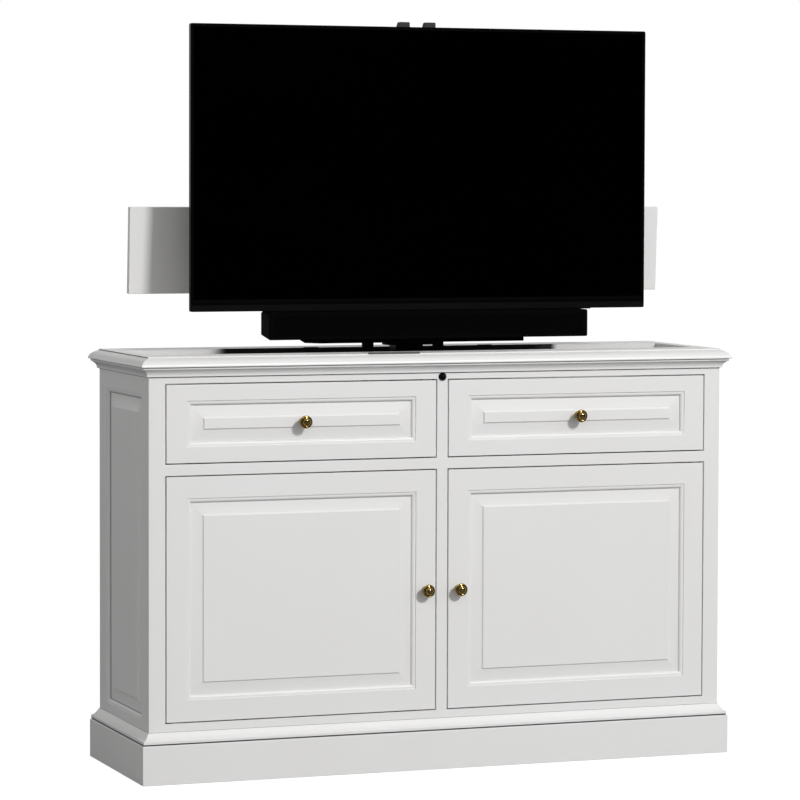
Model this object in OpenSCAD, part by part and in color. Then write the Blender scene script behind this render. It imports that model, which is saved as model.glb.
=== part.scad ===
// Low cabinet with a television lift, in the classic panelled style.
// Millimetres. +Z is up, -Y is the front, and the origin is at the middle of the footprint on the floor.
// It stands as photographed: lift up, lid raised behind the screen, doors and drawers shut.

/* [Body] */
// Width across the side frames
body_w = 1309; // [1200:1:1600]
// Depth from the face frame to the back
body_d = 381.5; // [360:0.5:500]
// Height from the floor to the top surface
total_h = 895; // [860:1:1000]
// Thickness of the side frames
side_t = 20; // [16:0.5:24]
// Thickness of the face frame, doors and drawer fronts
face_t = 20; // [18:0.5:24]
// Thickness of the bottom board
bottom_t = 18; // [12:0.5:24]
// Thickness of the back panel
back_t = 8; // [5:0.5:12]

/* [Plinth and mouldings] */
// Height of the plinth
plinth_h = 83; // [60:0.5:110]
// How far the plinth stands out from the body
plinth_out = 17.5; // [14:0.5:24]
// Thickness of the plinth boards
plinth_t = 44; // [40:1:60]
// Ease on the top edge of the plinth
plinth_ease = 1.5; // [0.5:0.5:3]
// Height of the base moulding
base_h = 25; // [18:0.5:30]
// How far the base moulding stands out
base_out = 14; // [12:0.5:17]
// Radius of the bead on the base moulding
base_bead_r = 4; // [3:0.5:5]
// Height of the cornice moulding
cornice_h = 20; // [18:0.5:32]
// How far the cornice stands out
cornice_out = 16.5; // [16:0.5:18]
// Radius of the cornice cove
cove_r = 18; // [14:0.5:30]
// Width and height of the cove
cove_span = 13; // [10:0.5:13.5]
// Width of the fillet under the cove
cove_foot = 2.5; // [2:0.5:3]

/* [Top] */
// Thickness of the top boards
top_t = 22; // [18:0.5:30]
// How far the nosing stands out from the body
top_out = 20.5; // [19:0.5:26]
// Radius of the convex part of the nosing
nosing_r = 16.5; // [12:0.5:18]
// Height of the step at the top of the nosing
nosing_step = 2.5; // [0.5:0.5:3]
// Radius under the nosing
nosing_foot_r = 1; // [0.5:0.5:3]
// Width of the rim in front of the opening, from the body face
rim_front = 79; // [70:1:90]
// Width of the rim behind the opening
rim_back = 111.5; // [100:0.5:140]
// Width of the rim beside the opening, from the body side
rim_side = 32.5; // [24:0.5:40]

/* [Face frame] */
// Width of the outer stiles
stile_w = 36.3; // [28:0.1:50]
// Width of the centre stile
centre_stile_w = 24.5; // [20:0.5:40]
// Height of bottom rail that shows above the base moulding
bottom_rail_show = 17.4; // [12:0.1:30]
// Height of the rail between drawers and doors
mid_rail_w = 23.5; // [20:0.5:40]
// Height of top rail that shows under the cornice
top_rail_show = 14.6; // [8:0.1:20]
// Height of the drawer openings
drawer_open_h = 169.1; // [150:0.1:200]
// Gap around doors and drawer fronts
leaf_gap = 2.5; // [2:0.1:4]

/* [Doors and drawer fronts] */
// Width of the door stiles
door_stile_w = 45; // [40:0.5:70]
// Width of the door rails
door_rail_w = 46; // [40:0.5:70]
// Width of the drawer front stiles
drawer_stile_w = 46; // [40:0.5:70]
// Width of the drawer front rails
drawer_rail_w = 34.3; // [30:0.1:38]
// Width of the moulding round each panel
stick_w = 9; // [8:0.5:12]
// Radius of the bead in that moulding
stick_r = 5.6; // [5:0.1:7]
// Depth of the quirk beside the bead
quirk_d = 2; // [0.6:0.1:2.4]
// Width of the bevel on the raised panels
bevel_w = 28; // [20:0.5:30]
// Width of the small step round the field
step_w = 2.5; // [1:0.5:5]
// Depth of the bevel under the step
bevel_d = 4.5; // [3:0.5:6]
// Depth of the flat field below the frame
field_d = 1.5; // [0.5:0.5:3]
// How far a panel's back lies in from the frame's back
panel_inset = 2; // [0:0.5:4]
// Distance of the door pivot from the door's outer edge
pivot_in = 20; // [17:0.5:24]
// Distance of the door pivot behind the face
pivot_back = 8; // [7:0.5:10]
// Radius of the door pivot pins
pin_r = 3; // [2:0.5:4]
// Length of pin inside the door
pin_len = 10; // [6:0.5:20]

/* [Side panels] */
// Width of the front stile, behind the face frame
side_stile_front = 35; // [30:1:60]
// Width of the rear stile
side_stile_back = 55; // [40:1:120]
// Height of the top rail
side_rail_top = 59; // [50:1:100]
// Height of the bottom rail
side_rail_bottom = 50; // [40:1:100]
// Width of the bevel on the side panels
side_bevel_w = 30; // [20:0.5:40]

/* [Drawers] */
// Thickness of the drawer box sides and back
drawer_box_t = 10; // [8:0.5:14]
// Height of the drawer box
drawer_box_h = 110; // [80:1:130]
// Depth of the drawer box behind its front
drawer_box_d = 58; // [50:1:62]
// Thickness of the drawer bottom
drawer_base_t = 4; // [3:0.5:6]
// Height of the drawer bottom above the box's lower edge
drawer_base_up = 5; // [3:0.5:10]
// Thickness of the shelf that carries the drawers
shelf_t = 12; // [9:0.5:15]
// Width of the guide strips beside the drawers
guide_w = 7; // [5:0.5:9]
// Height of the guide strips
guide_h = 10; // [6:0.5:20]

/* [Knobs] */
// How far the knobs stand out from the face
knob_out = 30; // [24:0.5:40]
// Radius of the knob's head
knob_r = 14; // [12:0.5:16]
// Radius of the knob's foot
knob_foot_r = 9; // [7:0.5:11]
// Height of the knob's foot
knob_foot_h = 3; // [2:0.5:4]
// Radius of the knob's neck
knob_neck_r = 5.5; // [4:0.5:7]
// Radius of the round edge of the knob's head
knob_edge_r = 9; // [7:0.5:10]
// Height of the door knobs above the floor
door_knob_z = 385.5; // [300:0.5:500]

/* [Sensor and cable outlet] */
// Radius of the remote control sensor
sensor_r = 8.2; // [6:0.1:9]
// Thickness of the sensor's flange
sensor_flange = 1.5; // [1:0.5:3]
// Radius of the cable hole in the back
cable_hole_r = 30; // [20:1:40]
// Height of the cable hole
cable_hole_z = 260; // [180:1:600]
// Wall of the cable hole's bushing
bushing_t = 4; // [3:0.5:6]

/* [Lift] */
// Travel of the lift
travel = 750; // [700:5:750]
// Distance of the lift column behind the body's face
column_y = 225; // [222:1:235]
// Width of the outer column
column_w = 76; // [70:1:84]
// Depth of the outer column
column_d = 56; // [54:1:60]
// Wall of the columns
column_wall = 5.5; // [4:0.5:6]
// Running gap between the columns
column_gap = 0.5; // [0.3:0.1:0.8]
// Thickness of the foot plate
foot_t = 6; // [4:0.5:10]
// Width of the foot plate
foot_w = 220; // [180:5:300]
// Depth of the foot plate
foot_d = 110; // [90:5:140]
// Radius of the lift motor
motor_r = 24; // [18:1:28]
// Length of the lift motor
motor_len = 170; // [100:5:220]
// Height of the lift's gear case
gear_h = 50; // [40:1:70]
// Height of the head on the inner column
head_h = 26; // [20:1:40]
// Thickness of the mount plate and the head's gussets
mount_t = 6; // [4:0.5:8]
// Height of the mount plate
mount_h = 200; // [150:5:300]
// Width of the mount plate
mount_w = 120; // [100:5:160]
// Width of the two mount rails
mount_rail_w = 27; // [20:1:32]
// Depth of the two mount rails
mount_rail_d = 14; // [10:1:16]
// Distance of the mount rails from the middle
mount_rail_x = 30; // [26:1:40]
// Height of the pads that push the lid
skid_h = 13; // [8:0.5:14]
// How far the pads' left ends slant
skid_slant = 3.5; // [0:0.5:6]
// Distance of the brace below the outer column's top
brace_drop = 112; // [110:1:300]
// Width of the brace
brace_w = 90; // [80:1:160]
// Height of the brace's plates
brace_h = 40; // [20:1:80]
// Thickness of the brace's plates
brace_t = 4; // [3:0.5:6]
// Width of the control box
control_w = 120; // [90:1:180]
// Depth of the control box
control_d = 70; // [50:1:100]
// Height of the control box
control_h = 40; // [25:1:60]
// Distance of the control box from the middle
control_x = 190; // [180:1:400]

/* [Screen] */
// Width of the screen's frame
tv_w = 1053; // [900:1:1100]
// Height of the screen's frame
tv_h = 612; // [560:1:640]
// Depth of the screen's frame
tv_d = 12; // [8:0.5:14]
// Distance of the screen's face behind the body's face
tv_y = 129.5; // [126:0.5:135]
// Distance of the screen's middle to the right of the cabinet's
tv_x = 2.5; // [-8:0.5:8]
// Height of the screen's frame above the cabinet top
tv_up = 87.5; // [85:0.1:120]
// Width of the bezel at the top and sides
bezel_w = 7; // [4:0.5:15]
// Height of the bezel at the bottom
bezel_low = 26; // [10:0.5:40]
// Depth of the glass in the bezel
glass_t = 1; // [0.8:0.1:2]
// How far the glass lies behind the bezel
glass_in = 0.4; // [0.2:0.1:1]
// Corner radius of the screen's frame
tv_corner_r = 4; // [2:0.5:10]
// Width of the rear housing
housing_w = 760; // [600:5:860]
// Height of the rear housing
housing_h = 330; // [260:5:400]
// Height of the rear housing's lower edge above the frame's
housing_up = 28; // [20:1:60]
// Chamfer of the rear housing
housing_chamfer = 14; // [6:1:18]

/* [Soundbar] */
// Width of the soundbar
bar_w = 736; // [600:1:850]
// Distance of the soundbar's middle to the right of the cabinet's
bar_x = 5; // [-20:0.5:20]
// Height of the soundbar
bar_h = 62; // [50:0.5:64]
// Depth of the soundbar
bar_d = 54; // [44:0.5:60]
// Distance of the soundbar's front behind the body's face
bar_y = 83; // [82:0.5:95]
// Gap between the soundbar and the screen's frame
bar_gap = 1; // [0.8:0.1:8]
// Radius of the soundbar's long edges
bar_edge_r = 10; // [6:0.5:15]
// Thickness of the soundbar's end caps
bar_cap_t = 12; // [6:0.5:20]
// Depth of the grille cloth
grille_t = 2; // [1:0.5:3]
// Width of the soundbar's shelf
bar_shelf_w = 495; // [400:1:600]
// Distance of the shelf's middle to the right of the cabinet's
bar_shelf_x = -22.5; // [-40:0.5:40]
// Thickness of the soundbar's shelf
bar_shelf_t = 4; // [3:0.5:6]
// Height of the shelf's front lip
bar_lip_h = 10; // [6:0.5:12]
// Height of the feet between shelf and soundbar
bar_foot_h = 1; // [1:0.5:6]

/* [Lid] */
// Depth of the lid
lid_d = 187; // [180:0.5:189]
// Thickness of the lid
lid_t = 17; // [14:0.5:20]
// Gap between the lid and the opening's edges
lid_gap = 2; // [1.5:0.5:4]
// Height of the lid's hinge above the cabinet top
hinge_up = 129.6; // [125:0.1:140]
// How far the raised lid leans forward
lid_lean = 3.4; // [2:0.1:5]
// Distance from the hinge to the lid's underside
hinge_off = 8.5; // [8:0.1:10]
// How far the lid reaches below the hinge
lid_below = 8; // [6:0.5:10]
// Radius of the hinge rod
rod_r = 4; // [3:0.5:5]
// Width of the two lid posts
post_w = 14; // [10:0.5:18]
// Depth of the two lid posts
post_d = 7; // [5:0.5:7]
// Distance of the lid posts from the middle
post_x = 83; // [75:1:95]
// Length of the lid posts below the hinge
post_len = 385; // [350:5:400]
// Thickness of the hinge ears on the lid
ear_t = 6; // [4:0.5:8]
// Height of the post guides
post_guide_h = 40; // [30:1:60]
// Left end of the felt strip behind the opening
felt_left = -424; // [-600:1:-200]
// Right end of the felt strip
felt_right = 371; // [200:1:600]

/* [Hidden] */
$fn = 64;

PAINT = "#dededc";
PAINT_SIDE = "#d4d4d0";
BLACK = "#17181a";
STEEL = "#2a2b2d";
ALUMINIUM = "#8e9094";
BRASS = "#b08d4c";
FELT = "#0c0c0c";
PLYWOOD = "#cbb48c";

// Cutters pass their work by this much
cut = 1;
// Longer than any board
far = 3000;
// Clearance of a piece that slides or seats by hand
seat = 0.3;
// Glue line between pieces that meet at a mitre or in a box joint
glue_gap = 0.1;
// How far the mitre planes are drawn out from the body
mitre_reach = 80;
// Running clearance of pins in their bores
pin_gap = 0.05;

half_w = body_w / 2;
y_face = (knob_out - body_d - top_out) / 2;
y_back = y_face + body_d;
y_frame_back = y_face + face_t;
inner_half = half_w - side_t;

z_top0 = total_h - top_t;
z_cornice0 = z_top0 - cornice_h;
z_draw1 = z_cornice0 - top_rail_show;
z_draw0 = z_draw1 - drawer_open_h;
z_door1 = z_draw0 - mid_rail_w;
z_door0 = plinth_h + base_h + bottom_rail_show;
x_open0 = centre_stile_w / 2;
x_open1 = half_w - stile_w;
leaf_w = x_open1 - x_open0 - 2 * leaf_gap;
door_h = z_door1 - z_door0 - 2 * leaf_gap;
drawer_h = drawer_open_h - 2 * leaf_gap;
x_leaf0 = x_open0 + leaf_gap;
x_pivot = x_leaf0 + leaf_w - pivot_in;
y_pivot = y_face + pivot_back;

stick_d = quirk_d + stick_r;
y_slot0 = y_face + rim_front;
y_slot1 = y_back - rim_back;
x_slot = half_w - rim_side;

z_shelf0 = z_draw0 - shelf_t;
y_shelf1 = y_frame_back + drawer_box_d + 4;
guide_gap = 0.5;
x_box0 = x_leaf0 + guide_w + guide_gap;
box_w = leaf_w - 2 * (guide_w + guide_gap);

y_col = y_face + column_y;
z_floor = plinth_h + bottom_t;
z_lift0 = z_floor + foot_t;
stage_step = column_wall + column_gap;
z_tv0 = total_h + tv_up;
z_tv1 = z_tv0 + tv_h;
top_show = 0.8;
z_head1 = z_tv1 - top_show;
z_inner1 = z_head1 - head_h;
stage_drop = 6;
stage_rise = 4;
z_inner0 = z_lift0 + 2 * stage_rise + travel;
z_middle1 = z_inner1 - travel / 2 - stage_drop;
z_middle0 = z_lift0 + stage_rise + travel / 2;
z_outer1 = z_inner1 - travel - 2 * stage_drop;
y_tv0 = y_face + tv_y;
y_tv1 = y_tv0 + tv_d;
y_mount = y_col - column_d / 2 - 13;
y_rail1 = y_mount - mount_t;
y_rail0 = y_rail1 - mount_rail_d;

z_bar1 = z_tv0 - bar_gap;
z_bar0 = z_bar1 - bar_h;
z_bar_shelf = z_bar0 - bar_foot_h;
y_bar0 = y_face + bar_y;

lid_w = 2 * (x_slot - lid_gap);
z_hinge = total_h + hinge_up;
y_hinge = y_slot1 - lid_gap - hinge_off + 0.5;
eye_r = hinge_off - 1;
y_post1 = y_hinge + post_d / 2;
z_post_guide = z_outer1 - post_guide_h - 12;

// 2D half sections: x is the distance out from the body, y is the height

module nosing_2d() {
    nose_z = z_top0 + nosing_foot_r + 1;
    crown = total_h - nosing_step - nose_z;
    translate([-cut, z_top0]) square([cut + top_out - nosing_foot_r, nose_z - z_top0]);
    translate([top_out - nosing_foot_r, z_top0 + nosing_foot_r]) circle(nosing_foot_r);
    translate([-cut, z_top0 + nosing_foot_r]) square([cut + top_out, 1]);
    intersection() {
        translate([top_out - nosing_r, nose_z]) circle(nosing_r);
        translate([-cut, nose_z]) square([cut + top_out, crown]);
    }
    translate([-cut, nose_z]) square([cut + top_out - nosing_r, crown]);
    translate([-cut, nose_z]) square([cut + 1, total_h - nose_z]);
}

module cornice_2d() {
    reach = sqrt((cove_r * cove_r - cove_span * cove_span / 2) / 2);
    difference() {
        translate([-cut, z_cornice0]) square([cut + cornice_out, cornice_h]);
        translate([cove_foot, z_cornice0 - cut]) square([cornice_out, cut + cove_foot]);
        translate([cove_foot, z_cornice0 + cove_foot]) intersection() {
            square([cornice_out, cove_span]);
            translate([cove_span / 2 + reach, cove_span / 2 - reach]) circle(cove_r);
        }
    }
}

module base_2d() {
    bead_z = plinth_h + 2 + base_bead_r;
    translate([-cut, plinth_h]) square([cut + base_out - base_bead_r - 1.5, bead_z - plinth_h]);
    translate([-cut, bead_z - base_bead_r]) square([cut + base_out - base_bead_r, 2 * base_bead_r]);
    translate([base_out - base_bead_r, bead_z]) circle(base_bead_r);
    ogee_r = base_out - base_bead_r;
    difference() {
        translate([-cut, bead_z]) square([cut + base_out - base_bead_r, plinth_h + base_h - bead_z]);
        translate([2.5 + ogee_r, plinth_h + base_h - 2.5]) circle(ogee_r);
        translate([2.5, plinth_h + base_h - 2.5]) square([base_out, 2.5 + cut]);
    }
}

module plinth_2d() {
    polygon([
        [-cut, 0], [plinth_out, 0], [plinth_out, plinth_h - plinth_ease],
        [plinth_out - plinth_ease, plinth_h], [-cut, plinth_h]
    ]);
}

// Slab that carries the half section all round
module moulded_slab(z0, z1) {
    intersection() {
        translate([0, y_back + 100, 0]) rotate([90, 0, 0]) linear_extrude(body_d + 200) {
            for (side = [0, 1]) mirror([side, 0]) translate([half_w, 0]) children();
            translate([-half_w, z0]) square([body_w, z1 - z0]);
        }
        rotate([90, 0, 90]) linear_extrude(body_w + 200, center = true) {
            translate([y_face, 0]) mirror([1, 0]) children();
            translate([y_back, 0]) children();
            translate([y_face, z0]) square([body_d, z1 - z0]);
        }
    }
}

// The same slab with the body's plan taken out, reaching in by the given width
module moulded_ring(z0, z1, reach = 0) {
    difference() {
        moulded_slab(z0, z1) children();
        translate([-half_w + reach, y_face + reach, z0 - cut])
            cube([body_w - 2 * reach, body_d - 2 * reach, z1 - z0 + 2 * cut]);
    }
}

// Wedge from which the mitres cut one length of a ring; y is the body's face or back there
module cross_length(y, out, inner) {
    w0 = half_w + mitre_reach - glue_gap;
    w1 = half_w - inner - glue_gap;
    y0 = y + out * mitre_reach;
    y1 = y - out * inner;
    intersection() {
        children();
        translate([0, 0, -cut]) linear_extrude(total_h + 2 * cut)
            polygon([[-w0, y0], [w0, y0], [w1, y1], [-w1, y1]]);
    }
}

// Front length of a ring, cut at the mitres; inner is how far the ring reaches into the body's plan
module front_length(inner = 0) {
    cross_length(y_face, -1, inner) children();
}

// Rear length of a ring
module rear_length(inner = 0) {
    cross_length(y_back, 1, inner) children();
}

// Both side lengths of a ring, cut at the mitres
module side_lengths(inner = 0) {
    for (side = [0, 1]) mirror([side, 0, 0]) intersection() {
        children();
        translate([0, 0, -cut]) linear_extrude(total_h + 2 * cut) polygon([
            [half_w + mitre_reach, y_face - mitre_reach], [half_w + mitre_reach, y_back + mitre_reach],
            [half_w - inner, y_back - inner], [half_w - inner, y_face + inner]
        ]);
    }
}

// Framed panels are drawn facing -Y with the face at y = 0 and the lower left corner at the origin

// Half section of the bead round an opening: x in from the moulding's outer line, y the depth
module stick_2d(depth) {
    translate([-cut, quirk_d]) square([cut + stick_w - stick_r, depth]);
    translate([stick_w - stick_r, stick_d]) circle(stick_r);
    translate([-cut, stick_d]) square([cut + stick_w, depth]);
}

// Air in a moulded opening
module moulded_opening(w, h, depth) {
    intersection() {
        linear_extrude(h) difference() {
            translate([0, -cut]) square([w, depth + 2 * cut]);
            stick_2d(depth);
            translate([w, 0]) mirror([1, 0]) stick_2d(depth);
        }
        rotate([90, 0, 90]) linear_extrude(w) mirror([1, -1]) difference() {
            translate([0, -cut]) square([h, depth + 2 * cut]);
            stick_2d(depth);
            translate([h, 0]) mirror([1, 0]) stick_2d(depth);
        }
    }
}

// Prism along Y from a plan drawn in x and z
module face_prism(depth) {
    translate([0, depth + cut, 0]) rotate([90, 0, 0]) linear_extrude(depth + 2 * cut) children();
}

// Frame of two stiles and two rails with mitred mouldings, each length a solid of its own
module panel_frame(w, h, left, right, bottom, top, depth) {
    x0 = left;
    x1 = w - right;
    z0 = bottom;
    z1 = h - top;
    m = stick_w;
    lengths = [
        [[0, 0], [x0, 0], [x0, z0], [x0 + m, z0 + m], [x0 + m, z1 - m], [x0, z1], [x0, h], [0, h]],
        [[w, 0], [w, h], [x1, h], [x1, z1], [x1 - m, z1 - m], [x1 - m, z0 + m], [x1, z0], [x1, 0]],
        [[x0, 0], [x1, 0], [x1, z0], [x1 - m, z0 + m], [x0 + m, z0 + m], [x0, z0]],
        [[x0, h], [x0, z1], [x0 + m, z1 - m], [x1 - m, z1 - m], [x1, z1], [x1, h]]
    ];
    for (outline = lengths) difference() {
        intersection() {
            cube([w, depth, h]);
            face_prism(depth) polygon(outline);
        }
        translate([x0, 0, z0]) moulded_opening(x1 - x0, z1 - z0, depth);
    }
}

// Points of a raised panel's section across a span
function raised_section(span, bevel, back) = [
    [0, back], [0, stick_d], [bevel - step_w, bevel_d], [bevel, field_d],
    [span - bevel, field_d], [span - bevel + step_w, bevel_d], [span, stick_d], [span, back]
];

// Raised and fielded panel
module raised_panel(w, h, bevel, back) {
    intersection() {
        linear_extrude(h) polygon(raised_section(w, bevel, back));
        rotate([90, 0, 90]) linear_extrude(w) mirror([1, -1]) polygon(raised_section(h, bevel, back));
    }
}

// Puts a child drawn at a leaf's lower left corner on the right half, or mirrored on the left
module on_half(right, z) {
    mirror([right ? 0 : 1, 0, 0]) translate([x_leaf0, y_face, z]) children();
}

module knob(seat_depth) {
    height = knob_out + seat_depth;
    head_z = height - knob_edge_r;
    rotate([90, 0, 0]) rotate_extrude() {
        square([knob_foot_r, knob_foot_h]);
        square([knob_neck_r, head_z]);
        intersection() {
            translate([knob_r - knob_edge_r, head_z]) circle(knob_edge_r);
            translate([0, head_z - knob_edge_r]) square([knob_r, 2 * knob_edge_r]);
        }
        difference() {
            translate([0, head_z - knob_edge_r])
                square([knob_r - knob_edge_r, 2 * knob_edge_r]);
            translate([(knob_r - knob_edge_r) * 0.8, height]) circle(0.9, $fn = 32);
        }
        translate([0, knob_foot_h]) square([knob_foot_r - 2, 1.5]);
    }
}

// Carcass

module plinth_front() {
    inner = plinth_t - plinth_out;
    color(PAINT) front_length(inner) moulded_ring(0, plinth_h, inner) plinth_2d();
}

module plinth_sides() {
    inner = plinth_t - plinth_out;
    color(PAINT) side_lengths(inner) moulded_ring(0, plinth_h, inner) plinth_2d();
}

module plinth_rear() {
    inner = plinth_t - plinth_out;
    color(PAINT) rear_length(inner) moulded_ring(0, plinth_h, inner) plinth_2d();
}

module base_moulding() {
    color(PAINT) {
        front_length() moulded_ring(plinth_h, plinth_h + base_h) base_2d();
        side_lengths() moulded_ring(plinth_h, plinth_h + base_h) base_2d();
        rear_length() moulded_ring(plinth_h, plinth_h + base_h) base_2d();
    }
}

module cornice_moulding() {
    color(PAINT) {
        front_length() moulded_ring(z_cornice0, z_top0) cornice_2d();
        side_lengths() moulded_ring(z_cornice0, z_top0) cornice_2d();
        rear_length() moulded_ring(z_cornice0, z_top0) cornice_2d();
    }
}

module bottom_board() {
    color(PAINT) translate([-inner_half, y_frame_back, plinth_h])
        cube([2 * inner_half, y_back - back_t - y_frame_back, bottom_t]);
}

// Left side: its own x runs forward along the cabinet's -Y
module on_side(right) {
    mirror([right ? 1 : 0, 0, 0]) translate([-half_w, y_back, plinth_h]) rotate([0, 0, -90]) children();
}

side_run = body_d - face_t;
side_h = z_top0 - plinth_h;
side_open_w = side_run - side_stile_back - side_stile_front;
side_open_h = side_h - side_rail_bottom - side_rail_top;

module side_frame(right) {
    color(PAINT_SIDE) on_side(right) panel_frame(side_run, side_h, side_stile_back, side_stile_front,
        side_rail_bottom, side_rail_top, side_t);
}

module side_panel(right) {
    color(PAINT_SIDE) on_side(right)
        translate([side_stile_back + stick_w, 0, side_rail_bottom + stick_w])
            raised_panel(side_open_w - 2 * stick_w, side_open_h - 2 * stick_w, side_bevel_w,
                side_t - panel_inset);
}

module face_stiles() {
    color(PAINT) {
        for (side = [0, 1]) mirror([side, 0, 0])
            translate([x_open1, y_face, plinth_h]) cube([stile_w, face_t, z_top0 - plinth_h]);
        translate([-x_open0, y_face, z_door0]) cube([centre_stile_w, face_t, z_draw1 - z_door0]);
    }
}

module face_rails() {
    color(PAINT) {
        translate([-x_open1, y_face, plinth_h]) cube([2 * x_open1, face_t, z_door0 - plinth_h]);
        translate([-x_open1, y_face, z_draw1]) cube([2 * x_open1, face_t, z_top0 - z_draw1]);
        for (side = [0, 1]) mirror([side, 0, 0])
            translate([x_open0, y_face, z_door1]) cube([x_open1 - x_open0, face_t, mid_rail_w]);
    }
}

module back_panel() {
    color(PAINT) difference() {
        translate([-inner_half, y_back - back_t, plinth_h])
            cube([2 * inner_half, back_t, z_top0 - plinth_h]);
        translate([0, y_back + cut, cable_hole_z]) rotate([90, 0, 0])
            cylinder(h = back_t + 2 * cut, r = cable_hole_r);
    }
}

module cable_bushing() {
    color(BLACK) translate([0, y_back, cable_hole_z]) rotate([90, 0, 0]) difference() {
        union() {
            cylinder(h = back_t, r = cable_hole_r - pin_gap);
            translate([0, 0, back_t]) cylinder(h = 3, r = cable_hole_r + 5);
        }
        translate([0, 0, -cut]) cylinder(h = back_t + 3 + 2 * cut, r = cable_hole_r - bushing_t);
    }
}

// Top boards: one nosed slab cut round the opening

module top_slab() {
    moulded_slab(z_top0, total_h) nosing_2d();
}

module top_front() {
    color(PAINT) intersection() {
        top_slab();
        translate([-far / 2, y_slot0 - far, 0]) cube([far, far, far]);
    }
}

module top_back() {
    color(PAINT) intersection() {
        top_slab();
        translate([-far / 2, y_slot1, 0]) cube([far, far, far]);
    }
}

module top_sides() {
    color(PAINT) for (side = [0, 1]) mirror([side, 0, 0]) intersection() {
        top_slab();
        translate([x_slot, y_slot0, 0]) cube([far, y_slot1 - y_slot0, far]);
    }
}

module opening_felt() {
    foot = 3;
    color(FELT) translate([felt_left, y_slot1 - lid_gap + seat, z_top0 + foot])
        cube([felt_right - felt_left, lid_gap - seat, top_t - foot - seat]);
}

// Drawer support

module drawer_shelf() {
    color(PLYWOOD) translate([-inner_half, y_frame_back, z_shelf0])
        cube([2 * inner_half, y_shelf1 - y_frame_back, shelf_t]);
}

module drawer_guides() {
    color(PLYWOOD) for (side = [0, 1]) mirror([side, 0, 0])
        for (x = [x_leaf0, x_leaf0 + leaf_w - guide_w])
            translate([x, y_frame_back, z_draw0]) cube([guide_w, y_shelf1 - y_frame_back, guide_h]);
}

// Drawers

module drawer_frame(right) {
    color(PAINT) on_half(right, z_draw0 + leaf_gap) panel_frame(leaf_w, drawer_h, drawer_stile_w,
        drawer_stile_w, drawer_rail_w, drawer_rail_w, face_t);
}

module drawer_panel(right) {
    in_x = drawer_stile_w + stick_w;
    in_z = drawer_rail_w + stick_w;
    color(PAINT) on_half(right, z_draw0 + leaf_gap) translate([in_x, 0, in_z])
        raised_panel(leaf_w - 2 * in_x, drawer_h - 2 * in_z, bevel_w, face_t - panel_inset);
}

module drawer_box(right) {
    t = drawer_box_t;
    z0 = z_draw0 + seat;
    inner_w = box_w - 2 * (t + glue_gap);
    color(PLYWOOD) mirror([right ? 0 : 1, 0, 0]) translate([x_box0, y_frame_back, z0]) {
        cube([t, drawer_box_d, drawer_box_h]);
        translate([box_w - t, 0, 0]) cube([t, drawer_box_d, drawer_box_h]);
        translate([t + glue_gap, drawer_box_d - t, 0]) cube([inner_w, t, drawer_box_h]);
        translate([t + glue_gap, 0, drawer_base_up])
            cube([inner_w, drawer_box_d - t - glue_gap, drawer_base_t]);
    }
}

module drawer_knob(right) {
    color(BRASS) on_half(right, z_draw0 + leaf_gap + drawer_h / 2)
        translate([leaf_w / 2, field_d, 0]) knob(field_d);
}

// Doors

module door_frame(right) {
    bore_depth = pin_len + 2;
    color(PAINT) difference() {
        on_half(right, z_door0 + leaf_gap)
            panel_frame(leaf_w, door_h, door_stile_w, door_stile_w, door_rail_w, door_rail_w, face_t);
        mirror([right ? 0 : 1, 0, 0]) for (z = [z_door0 + leaf_gap - cut, z_door1 - leaf_gap - bore_depth])
            translate([x_pivot, y_pivot, z]) cylinder(h = bore_depth + cut, r = pin_r + pin_gap);
    }
}

module door_panel(right) {
    in_x = door_stile_w + stick_w;
    in_z = door_rail_w + stick_w;
    color(PAINT) on_half(right, z_door0 + leaf_gap) translate([in_x, 0, in_z])
        raised_panel(leaf_w - 2 * in_x, door_h - 2 * in_z, bevel_w, face_t - panel_inset);
}

module door_knob(right) {
    color(BRASS) on_half(right, door_knob_z) translate([door_stile_w / 2, 0, 0]) knob(0);
}

// Plate and pin that a door turns on
module pivot_pin() {
    plate = 16;
    plate_t = leaf_gap / 2;
    translate([-plate / 2, -pivot_back + 1, 0]) cube([plate, plate, plate_t]);
    cylinder(h = leaf_gap + pin_len, r = pin_r);
}

module door_pivot_pins() {
    color(BRASS) for (side = [0, 1]) mirror([side, 0, 0]) {
        translate([x_pivot, y_pivot, z_door0]) pivot_pin();
        translate([x_pivot, y_pivot, z_door1]) mirror([0, 0, 1]) pivot_pin();
    }
}

module door_catches() {
    catch_w = 40;
    catch_d = 14;
    color("white") for (side = [0, 1]) mirror([side, 0, 0]) translate([x_leaf0 + 10, y_frame_back, 0]) {
        translate([0, 0, z_door1]) cube([catch_w, catch_d, z_shelf0 - z_door1]);
        translate([0, seat, z_door1 - 14]) cube([catch_w, catch_d - seat, 14]);
    }
}

module remote_sensor() {
    color(BLACK) translate([0, y_face, z_cornice0 - sensor_r - seat]) rotate([90, 0, 0]) rotate_extrude() {
        square([sensor_r, sensor_flange]);
        intersection() {
            translate([0, sensor_flange]) circle(sensor_r - 0.8);
            translate([0, sensor_flange]) square(sensor_r);
        }
    }
}

// Lift

module column_stage(stage, z0, z1) {
    w = column_w - 2 * stage * stage_step;
    d = column_d - 2 * stage * stage_step;
    translate([-w / 2, y_col - d / 2, z0]) difference() {
        cube([w, d, z1 - z0]);
        translate([column_wall, column_wall, -cut])
            cube([w - 2 * column_wall, d - 2 * column_wall, z1 - z0 + 2 * cut]);
    }
}

module lift_foot() {
    color(STEEL) translate([-foot_w / 2, y_col - foot_d / 2, z_floor]) cube([foot_w, foot_d, foot_t]);
}

module lift_outer_column() {
    color(ALUMINIUM) column_stage(0, z_lift0, z_outer1);
}

module lift_middle_column() {
    color(ALUMINIUM) column_stage(1, z_middle0, z_middle1);
}

module lift_inner_column() {
    color(ALUMINIUM) column_stage(2, z_inner0, z_inner1);
}

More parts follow.
